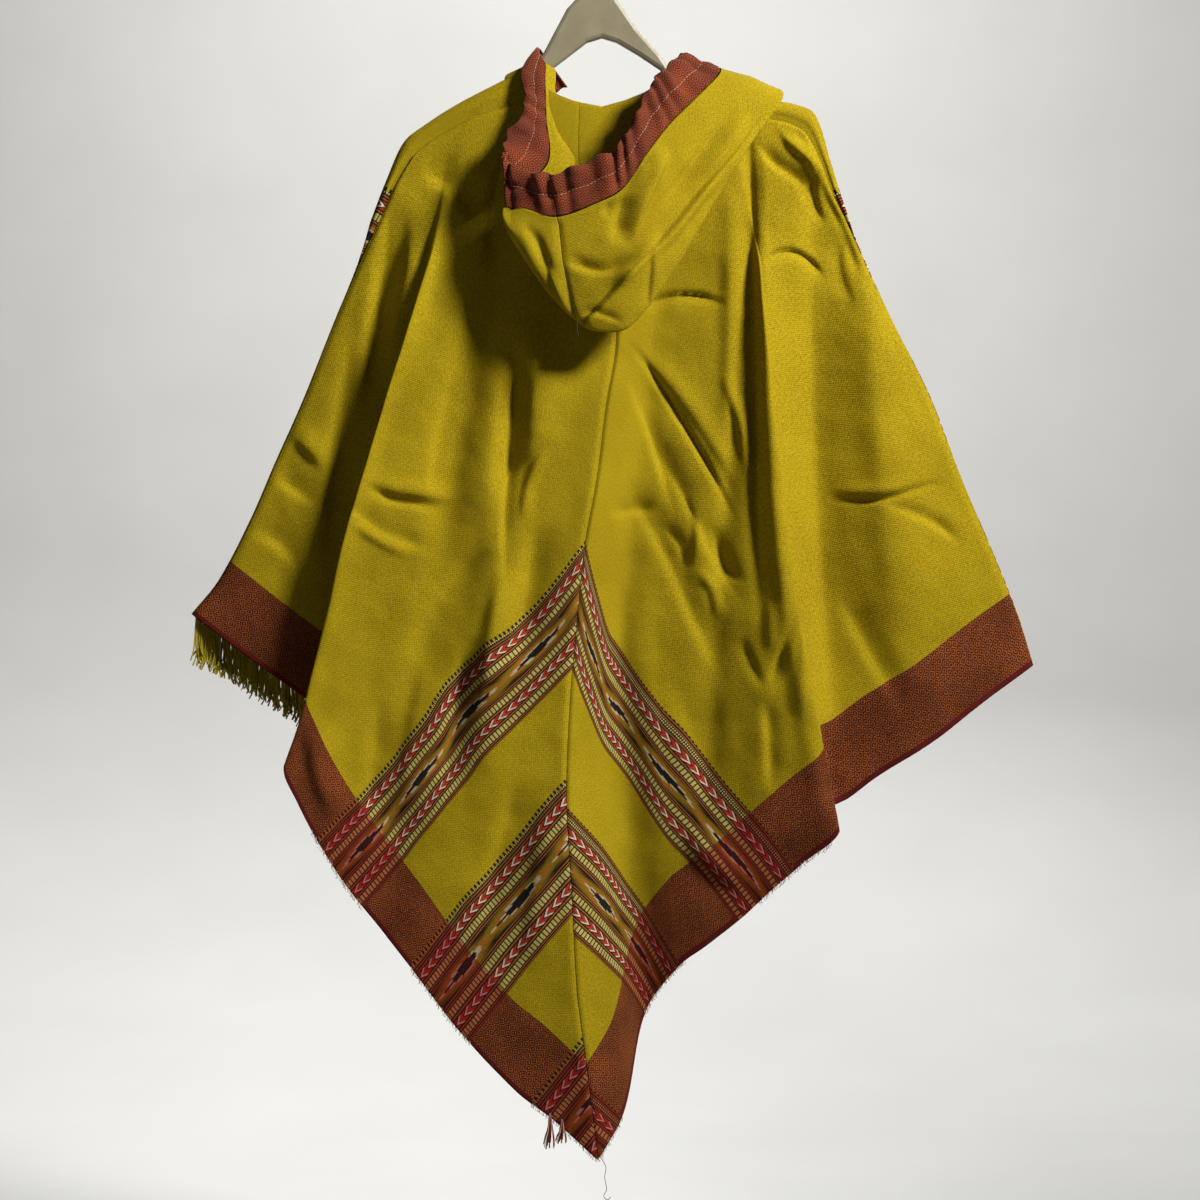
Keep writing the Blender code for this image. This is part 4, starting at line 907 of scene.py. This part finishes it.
HOOD_SEAM_DIP, HOOD_SEAM_WIDTH = 0.0022, 0.10
FOLD_ROWS = 8


def dress_hood(name, start, end, node):
    points, positions, outward = hood_strip(start, end, 1, HOOD_PROFILE_ROWS)
    front_rows = sum(HOOD_PROFILE_ROWS[:2]) + FOLD_ROWS
    row = np.arange(len(points))[:, None]
    shown = 1 - ease(front_rows - FOLD_ROWS, front_rows, row)
    lift = crease_lift(HOOD_CREASES, points[..., 0], points[..., 2]) + crumple(points, 0.02, 0.0012, 8.0)
    begin = ease(0, 5, row)
    seam_side = np.abs(positions - HOOD_SEAM)[None, :]
    lift = lift * shown * begin * ease(0.0, 0.5, seam_side)
    points += outward[None, :, :] * lift[..., None]
    dip = HOOD_SEAM_DIP * np.exp(-(seam_side / HOOD_SEAM_WIDTH) ** 2) * begin * (0.15 + 0.85 * shown)
    points -= outward[None, :, :] * dip[..., None]
    side = 1 if start == HOOD_SEAM else -1
    column = 0 if side == 1 else -1
    points[:, column, 0] += side * SEAM_GAP
    piece = cloth_mesh(name, points, strip_flat(points), CLOTH, hood_twill)
    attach(piece, "root")
    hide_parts(node)
    return piece


hood_end = len(HOOD) - 1
hood_left = dress_hood("cloth_hood_left", 0, HOOD_SEAM, "hood_left")
hood_right = dress_hood("cloth_hood_right", HOOD_SEAM, hood_end, "hood_right")


def brick_cloth(name):
    """Border cloth: small stepped diamonds in gold over maroon."""
    material = bpy.data.materials.new(name)
    p = Pattern(material)
    uv = p.node("ShaderNodeUVMap", uv_map="flat").outputs[0]
    split = p.node("ShaderNodeSeparateXYZ", {0: uv})
    u, v = split.outputs[0], split.outputs[1]
    pill = p.grain(uv, 560.0, 3.0, 0.7)
    diamond, colour = jacquard_cloth(p, uv, u, v, pill, 22.0, (0.62, 0.38, 0.30), (1.02, 0.68, 0.50))
    p.feed(p.shader.inputs["Base Color"], colour)
    p.shader.inputs["Roughness"].default_value = 0.86
    p.shader.inputs["Sheen Weight"].default_value = 0.10
    p.shader.inputs["Specular IOR Level"].default_value = 0.25
    height = p.add(p.times(diamond, 0.6), pill)
    bump = p.node("ShaderNodeBump", {"Height": height, "Strength": 0.6, "Distance": 0.0007})
    p.feed(p.shader.inputs["Normal"], bump.outputs[0])
    return material


casing_cloth = brick_cloth("brick_casing_cloth")
STITCH_SHARE = 0.5
GATHER, PUCKER, RUFFLE, TURN_IN = 0.0028, 0.0018, 0.0020, 0.0030


def dress_casing(name, start, end, node):
    points, positions, outward = hood_strip(start, end, 0, (22,))
    share = np.linspace(0.0, 1.0, len(points))[:, None]
    gather = np.sin(positions * 11.0 + 1.7 * np.sin(positions * 3.1))[None, :]
    pucker = np.exp(-((share - STITCH_SHARE) / 0.10) ** 2)
    gathered = (ease(2.6, 4.6, positions) * (1 - ease(hood_end - 3.0, hood_end - 1.0, positions)))[None, :]
    lift = GATHER * gathered * gather * (1 - 0.7 * share) - PUCKER * pucker
    lift = lift + crumple(points, 0.010, 0.0012, 12.0)
    roll = -TURN_IN * (1 - ease(0.0, 0.14, share))
    points = points + outward[None, :, :] * (lift + roll)[..., None]
    wave = np.sin(positions * 8.3 + 0.9 * np.sin(positions * 2.3))[None, :]
    ruffle = RUFFLE * gathered * wave * (1 - share) ** 2
    points = points + unit(points[:1] - points[-1:]) * ruffle[..., None]
    points[-1] += unit(points[-2] - points[-1]) * CASING_GAP
    side = 1 if start == HOOD_SEAM else -1
    points[:, 0 if side == 1 else -1, 0] += side * SEAM_GAP
    piece = cloth_mesh(name, points, strip_flat(points), CASING_WALL, casing_cloth)
    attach(piece, "root")
    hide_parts(node)
    return piece, points, outward


casing_left, casing_left_points, left_out = dress_casing("cloth_casing_left", 0, HOOD_SEAM, "casing_left")
casing_right, casing_right_points, right_out = dress_casing(
    "cloth_casing_right", HOOD_SEAM, hood_end, "casing_right")


# The fringe: the front's own olive warp yarns, left loose below its hem and a few pale ones
# among them. Each is a fine twisted yarn, drawn once and set along the hem by nodes.
YARN_LENGTH = 0.050
YARN_RADIUS = 0.00085
YARNS_PER_METRE = 1900


def yarn_material(name, dark, pale, scale=900.0):
    material = bpy.data.materials.new(name)
    p = Pattern(material)
    place = p.node("ShaderNodeTexCoord").outputs["Object"]
    fuzz = p.grain(place, scale, 3.0, 0.7)
    strand = p.grain(p.node("ShaderNodeMapping", {0: place, 3: (120.0, 120.0, 8.0)}).outputs[0], 1.0)
    colour = p.ramp(p.add(p.times(fuzz, 0.4), p.times(strand, 0.6)), [(0.30, dark), (0.70, pale)])
    p.feed(p.shader.inputs["Base Color"], colour)
    p.shader.inputs["Roughness"].default_value = 0.9
    p.shader.inputs["Specular IOR Level"].default_value = 0.2
    bump = p.node("ShaderNodeBump", {"Height": fuzz, "Strength": 0.5, "Distance": 0.0004})
    p.feed(p.shader.inputs["Normal"], bump.outputs[0])
    return material


olive_yarn = yarn_material("olive_fringe_yarn", (0.20, 0.15, 0.006), (0.52, 0.41, 0.03))
pale_yarn = yarn_material("pale_fringe_yarn", (0.42, 0.38, 0.22), (0.70, 0.66, 0.45))


def node_group(name, inputs):
    """An empty geometry tree with its geometry sockets and the named inputs."""
    tree = bpy.data.node_groups.new(name, "GeometryNodeTree")
    tree.interface.new_socket("Geometry", in_out="INPUT", socket_type="NodeSocketGeometry")
    tree.interface.new_socket("Geometry", in_out="OUTPUT", socket_type="NodeSocketGeometry")
    for label, kind in inputs:
        tree.interface.new_socket(label, in_out="INPUT", socket_type="NodeSocket" + kind)
    return tree


def grow(tree, kind, inputs=(), **settings):
    made = tree.nodes.new(kind)
    for key, value in settings.items():
        setattr(made, key, value)
    for key, value in dict(inputs).items():
        if isinstance(value, bpy.types.NodeSocket):
            tree.links.new(value, made.inputs[key])
        else:
            made.inputs[key].default_value = value
    return made


def yarn_tree():
    """Sets a bent yarn at even steps along the curve that the modifier is on."""
    tree = node_group("fringe", [("Yarns", "Int"), ("Length", "Float"), ("Radius", "Float"), ("Sway", "Float"),
                                 ("Seed", "Int"), ("Finish", "Material")])
    given = grow(tree, "NodeGroupInput").outputs
    line = grow(tree, "GeometryNodeResampleCurve", {"Curve": given["Geometry"], "Count": given["Yarns"]})
    dots = grow(tree, "GeometryNodeCurveToPoints", {"Curve": line.outputs[0], "Count": given["Yarns"]})
    spread = grow(tree, "FunctionNodeRandomValue", {
        "Min": (-0.0016, -0.0016, -0.0008), "Max": (0.0016, 0.0016, 0.0006),
                                                    "Seed": given["Seed"]}, data_type="FLOAT_VECTOR")
    shifted = grow(tree, "GeometryNodeSetPosition", {"Geometry": dots.outputs[0], "Offset": spread.outputs[0]})
    one = grow(tree, "GeometryNodeCurvePrimitiveBezierSegment", {
        "Start": (0.0, 0.0, 0.0), "Start Handle": (0.003, 0.002, -0.35), "End Handle": (-0.10, 0.04, -0.70),
        "End": (0.06, -0.03, -1.0), "Resolution": 7})
    sized = grow(tree, "GeometryNodeSetCurveRadius", {"Curve": one.outputs[0], "Radius": 1.0})
    turn = grow(tree, "FunctionNodeRandomValue", {"Min": (-0.12, -0.12, 0.0), "Max": (0.12, 0.12, 6.283),
                                                  "Seed": given["Seed"]}, data_type="FLOAT_VECTOR")
    stretch = grow(tree, "FunctionNodeRandomValue", {"Min": 0.72, "Max": 1.0, "Seed": given["Seed"]},
                   data_type="FLOAT")
    long = grow(tree, "ShaderNodeMath", {0: given["Length"], 1: stretch.outputs[1]}, operation="MULTIPLY")
    scale = grow(tree, "ShaderNodeCombineXYZ", {0: given["Sway"], 1: given["Sway"], 2: long.outputs[0]})
    set_out = grow(tree, "GeometryNodeInstanceOnPoints", {
        "Points": shifted.outputs[0], "Instance": sized.outputs[0], "Rotation": turn.outputs[0],
        "Scale": scale.outputs[0]})
    real = grow(tree, "GeometryNodeRealizeInstances", {"Geometry": set_out.outputs[0]})
    ring = grow(tree, "GeometryNodeCurvePrimitiveCircle", {"Resolution": 4, "Radius": given["Radius"]})
    tube = grow(tree, "GeometryNodeCurveToMesh", {"Curve": real.outputs[0], "Profile Curve": ring.outputs[0],
                                                  "Fill Caps": True})
    finish = grow(tree, "GeometryNodeSetMaterial", {"Geometry": tube.outputs[0], "Material": given["Finish"]})
    out = grow(tree, "NodeGroupOutput")
    tree.links.new(finish.outputs[0], out.inputs[0])
    return tree


fringe_nodes = yarn_tree()


def run_nodes(name, source, tree, values):
    """Runs a geometry tree on the source object and keeps the result as a plain mesh."""
    maker = source.modifiers.new("maker", "NODES")
    maker.node_group = tree
    sockets = {item.name: item.identifier for item in tree.interface.items_tree if item.in_out == "INPUT"}
    for label, value in values.items():
        maker[sockets[label]] = value
    bpy.context.view_layer.update()
    made = bpy.data.meshes.new_from_object(source.evaluated_get(bpy.context.evaluated_depsgraph_get()))
    source.modifiers.remove(maker)
    bpy.data.objects.remove(source)
    made.name = name
    made.shade_smooth()
    piece = bpy.data.objects.new(name, made)
    scene.collection.objects.link(piece)
    return piece


def path_object(name, points, cyclic=False):
    curve = bpy.data.curves.new(name, "CURVE")
    curve.dimensions = "3D"
    line = curve.splines.new("POLY")
    line.points.add(len(points) - 1)
    line.points.foreach_set("co", np.concatenate([points, np.ones((len(points), 1))], axis=1).ravel())
    line.use_cyclic_u = cyclic
    path = bpy.data.objects.new(name, curve)
    scene.collection.objects.link(path)
    return path


wrap_end = int(np.searchsorted(front_q, FRONT_WRAP))
middle = front_points.shape[1] // 2
left_edge_path = front_points[-1, wrap_end // 3:middle]
right_edge_path = front_points[-1, middle:front_points.shape[1] - wrap_end // 3]


def dress_fringe(name, path, node, seed):
    length = float(np.sum(np.linalg.norm(np.diff(path, axis=0), axis=1)))
    below = path - np.array((0.0, 0.0, 0.0006))
    yarns = run_nodes(name, path_object(name + "_path", below), fringe_nodes, {
        "Yarns": int(length * YARNS_PER_METRE), "Length": YARN_LENGTH, "Radius": YARN_RADIUS, "Sway": 0.05,
        "Seed": seed, "Finish": olive_yarn})
    pale = run_nodes(name + "_pale", path_object(name + "_pale_path", below), fringe_nodes, {
        "Yarns": int(length * 38), "Length": YARN_LENGTH, "Radius": YARN_RADIUS * 0.8, "Sway": 0.07,
        "Seed": seed + 5, "Finish": pale_yarn})
    for piece in (yarns, pale):
        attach(piece, "root")
    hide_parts(node)
    return [yarns, pale]


fringes = dress_fringe("fringe_yarns_left", left_edge_path, "fringe_left", 3)
fringes += dress_fringe("fringe_yarns_right", right_edge_path, "fringe_right", 11)


# The stitching: the casing is closed by one line of pale pink thread half way down its width.
# Each stitch is a short bar of thread set along that line by nodes.
STITCH_PITCH = 0.0042


def stitch_tree():
    """Lays a short thread bar along the curve at every step."""
    tree = node_group("stitches", [("Count", "Int"), ("Length", "Float"), ("Radius", "Float"), ("Seed", "Int"),
                                   ("Finish", "Material")])
    given = grow(tree, "NodeGroupInput").outputs
    dots = grow(tree, "GeometryNodeCurveToPoints", {"Curve": given["Geometry"], "Count": given["Count"]})
    end = grow(tree, "ShaderNodeCombineXYZ", {2: given["Length"]})
    bar = grow(tree, "GeometryNodeCurvePrimitiveLine", {"Start": (0.0, 0.0, 0.0), "End": end.outputs[0]})
    lean = grow(tree, "FunctionNodeRandomValue", {"Min": (-0.10, -0.10, 0.0), "Max": (0.10, 0.10, 0.0),
                                                  "Seed": given["Seed"]}, data_type="FLOAT_VECTOR")
    turned = grow(tree, "FunctionNodeRotateEuler", {
        "Rotation": dots.outputs["Rotation"], "Rotate By": lean.outputs[0]})
    laid = grow(tree, "GeometryNodeInstanceOnPoints", {"Points": dots.outputs[0], "Instance": bar.outputs[0],
                                                       "Rotation": turned.outputs[0]})
    real = grow(tree, "GeometryNodeRealizeInstances", {"Geometry": laid.outputs[0]})
    ring = grow(tree, "GeometryNodeCurvePrimitiveCircle", {"Resolution": 6, "Radius": given["Radius"]})
    tube = grow(tree, "GeometryNodeCurveToMesh", {"Curve": real.outputs[0], "Profile Curve": ring.outputs[0],
                                                  "Fill Caps": True})
    finish = grow(tree, "GeometryNodeSetMaterial", {"Geometry": tube.outputs[0], "Material": given["Finish"]})
    out = grow(tree, "NodeGroupOutput")
    tree.links.new(finish.outputs[0], out.inputs[0])
    return tree


STITCH_LENGTH, STITCH_RADIUS = 0.0026, 0.00032
STITCH_PROUD = 0.0003
stitch_nodes = stitch_tree()
pink_thread = yarn_material("pale_pink_thread", (0.42, 0.22, 0.14), (0.70, 0.45, 0.30))


def stitch_line(name, points, outward, seed):
    row = int(round(STITCH_SHARE * (len(points) - 1)))
    path = points[row] + outward * (CASING_WALL / 2 + STITCH_PROUD)
    length = float(np.sum(np.linalg.norm(np.diff(path, axis=0), axis=1)))
    piece = run_nodes(name, path_object(name + "_path", path), stitch_nodes, {
        "Count": int(length / STITCH_PITCH), "Length": STITCH_LENGTH, "Radius": STITCH_RADIUS,
        "Seed": seed, "Finish": pink_thread})
    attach(piece, "root")


stitch_line("stitches_left", casing_left_points, left_out, 2)
stitch_line("stitches_right", casing_right_points, right_out, 6)


# The loose ends: short weft ends fray out of the hem where the stripe bands reach it, two small
# tufts of dark red and white yarn hang near the tip, and thread ends hang below tip and hood.
red_yarn = yarn_material("dark_red_yarn", (0.10, 0.010, 0.008), (0.30, 0.040, 0.030))
white_yarn = yarn_material("white_yarn", (0.55, 0.50, 0.42), (0.80, 0.76, 0.66))
black_thread = yarn_material("black_thread", (0.010, 0.010, 0.010), (0.030, 0.028, 0.026))


def fray(name, marks, start, end, length, per_metre, finish, seed):
    path = chalk_line(marks, np.linspace(start, end, 24)) + np.array((0.0, -0.0005, 0.0008))
    piece = run_nodes(name, path_object(name + "_path", path), fringe_nodes, {
        "Yarns": int((end - start) * per_metre), "Length": length, "Radius": 0.00028, "Sway": 0.02,
        "Seed": seed, "Finish": finish})
    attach(piece, "root")


for number, (marks, start, end) in enumerate([
        (LEFT_HEM, 0.362, 0.456), (LEFT_HEM, 0.182, 0.280), (LEFT_HEM, 0.004, 0.090),
        (RIGHT_HEM, 0.362, 0.456), (RIGHT_HEM, 0.168, 0.258), (RIGHT_HEM, 0.004, 0.052)]):
    fray("fray_white_%d" % number, marks, start, end, 0.0055, 260, white_yarn, number)
    fray("fray_red_%d" % number, marks, start, end, 0.0045, 420, red_yarn, number + 20)


def loose_thread(name, points, radius, finish):
    """A thread end through the given points: across, down, proud."""
    line = np.array(points, float)
    keys = np.arange(len(line))
    fine = smooth_curve(keys, line, np.linspace(0, len(line) - 1, 8 * len(line)))
    path = path_object(name + "_path", np.stack([fine[:, 0], -fine[:, 2], -fine[:, 1]], axis=1))
    path.data.bevel_depth = radius
    path.data.bevel_resolution = 1
    path.data.use_fill_caps = True
    path.data.materials.append(finish)
    bpy.context.view_layer.update()
    mesh = bpy.data.meshes.new_from_object(path.evaluated_get(bpy.context.evaluated_depsgraph_get()))
    bpy.data.objects.remove(path)
    mesh.shade_smooth()
    piece = bpy.data.objects.new(name, mesh)
    scene.collection.objects.link(piece)
    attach(piece, "root")


TUFTS = [(-0.0500, 1.262, 0.060, 0.034), (-0.0375, 1.268, 0.061, 0.022)]
for tuft, (across, down, proud, length) in enumerate(TUFTS):
    for strand in range(9):
        angle = 2.4 * strand
        spread = 0.0016 + 0.0030 * (strand % 3) / 2
        lean = spread * math.cos(angle)
        reach = length * (0.78 + 0.22 * ((strand * 5) % 9) / 8)
        finish = white_yarn if strand % 4 == 1 else red_yarn
        loose_thread("tuft_%d_%d" % (tuft, strand), [
            (across + 0.2 * lean, down - 0.004, proud), (across + 0.6 * lean, down + 0.35 * reach, proud + 0.002),
            (across + 1.2 * lean - 0.001, down + 0.7 * reach, proud + 0.3 * spread * math.sin(angle)),
            (across + 1.5 * lean - 0.002, down + reach, proud + spread * math.sin(angle))], 0.0007, finish)
loose_thread("thread_at_the_tip", [
    (0.001, 1.300, 0.066), (0.008, 1.312, 0.066), (0.007, 1.324, 0.065), (0.009, 1.336, 0.064),
    (0.006, 1.343, 0.064),
    (0.010, 1.347, 0.064), (0.013, 1.344, 0.065)], 0.00035, black_thread)
loose_thread("thread_under_the_hood", [
    (-0.021, 0.434, 0.060), (-0.0215, 0.442, 0.058), (-0.020, 0.450, 0.056)], 0.0003, white_yarn)


# The hanger: a smooth contoured body moulded in taupe with a satin finish, and a bent steel
# wire hook pressed into the arch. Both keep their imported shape.
def satin(name, colour, roughness, metallic=0.0, streaks=(60.0, 60.0, 60.0)):
    material = bpy.data.materials.new(name)
    p = Pattern(material)
    place = p.node("ShaderNodeTexCoord").outputs["Object"]
    cloud = p.grain(place, 35.0, 3.0)
    fine = p.grain(p.node("ShaderNodeMapping", {0: place, 3: streaks}).outputs[0], 20.0, 2.0)
    tint = p.ramp(cloud, [(0.30, tuple(0.86 * c for c in colour)), (0.70, tuple(1.10 * c for c in colour))])
    p.feed(p.shader.inputs["Base Color"], tint)
    rough = p.node("ShaderNodeMapRange", {0: fine, 3: roughness - 0.08, 4: roughness + 0.08}).outputs[0]
    p.feed(p.shader.inputs["Roughness"], rough)
    p.shader.inputs["Metallic"].default_value = metallic
    bump = p.node("ShaderNodeBump", {"Height": fine, "Strength": 0.12, "Distance": 0.0003})
    p.feed(p.shader.inputs["Normal"], bump.outputs[0])
    return material


taupe = satin("satin_taupe", (0.30, 0.26, 0.165), 0.42)
steel = satin("polished_wire", (0.60, 0.60, 0.58), 0.25, 1.0, (8.0, 8.0, 90.0))
for node, finish, slot_name in (("hanger", taupe, "hanger_plastic"), ("hanger_hook", steel, "hook_steel")):
    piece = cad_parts[node]
    piece.data.materials.clear()
    piece.data.materials.append(finish)


# Studio: a plain pale floor that rises into a far backdrop, and one soft key from the upper right
# that fades towards the lower left, with weak fill, a rear light and a light on the backdrop.
def sweep_material():
    material = bpy.data.materials.new("studio_paper")
    p = Pattern(material)
    place = p.node("ShaderNodeTexCoord").outputs["Object"]
    tones = [(0.3, (0.70, 0.70, 0.69)), (0.7, (0.73, 0.73, 0.72))]
    p.feed(p.shader.inputs["Base Color"], p.ramp(p.grain(place, 3.0), tones))
    p.shader.inputs["Roughness"].default_value = 0.9
    return material


FLOOR_HEIGHT, FLOOR_NEAR, FLOOR_HALF = -1.62, -14.0, 16.0
SWEEP_START, SWEEP_RADIUS, WALL_TOP = 1.3, 3.5, 5.0
floor_mesh = bpy.data.meshes.new("studio_floor")
profile = [(FLOOR_NEAR, FLOOR_HEIGHT), (SWEEP_START, FLOOR_HEIGHT)]
profile += [(SWEEP_START + SWEEP_RADIUS * math.sin(a), FLOOR_HEIGHT + SWEEP_RADIUS * (1 - math.cos(a)))
            for a in np.linspace(0.1, math.pi / 2, 24)]
profile += [(SWEEP_START + SWEEP_RADIUS, WALL_TOP)]
corners = [(x, y, z) for y, z in profile for x in (-FLOOR_HALF, FLOOR_HALF)]
floor_mesh.from_pydata(corners, [], [(2 * i, 2 * i + 1, 2 * i + 3, 2 * i + 2) for i in range(len(profile) - 1)])
floor_mesh.shade_smooth()
floor_mesh.materials.append(sweep_material())
studio_floor = bpy.data.objects.new("studio_floor", floor_mesh)
scene.collection.objects.link(studio_floor)


def studio_light(name, kind, place, target, power, colour):
    """A light of so many watts, aimed from its place at a point."""
    data = bpy.data.lights.new(name, kind)
    data.energy = power
    data.color = colour
    lamp = bpy.data.objects.new(name, data)
    lamp.location = place
    lamp.rotation_euler = (Vector(target) - Vector(place)).to_track_quat("-Z", "Y").to_euler()
    scene.collection.objects.link(lamp)
    return data


key = studio_light("key", "SPOT", (2.2, -1.7, 1.4), (0.0, 0.0, -0.36), 740.0, (1.0, 0.99, 0.95))
key.shadow_soft_size = 0.40
key.spot_size = math.radians(44.0)
key.spot_blend = 1.0
# name, place, what it is aimed at, size across, power, colour
for name, place, target, size, power, colour in (
        ("fill", (-2.0, -3.0, 0.2), (0.0, 0.0, -0.7), 2.4, 2.0, (0.95, 0.97, 1.0)),
        ("rear", (0.6, 2.4, 0.8), (0.0, 0.0, -0.7), 2.0, 40.0, (1.0, 1.0, 1.0)),
        ("backdrop", (0.0, 2.2, 2.6), (0.0, 4.8, -0.6), 2.5, 122.0, (1.0, 0.985, 0.95))):
    soft = studio_light(name, "AREA", place, target, power, colour)
    soft.shape = "DISK"
    soft.size = size
WORLD_COLOUR, WORLD_STRENGTH = (0.86, 0.88, 0.90, 1.0), 0.05
world = bpy.data.worlds.new("studio")
world.use_nodes = True
world.node_tree.nodes["Background"].inputs[0].default_value = WORLD_COLOUR
world.node_tree.nodes["Background"].inputs[1].default_value = WORLD_STRENGTH
scene.world = world
scene.view_settings.view_transform = "Standard"
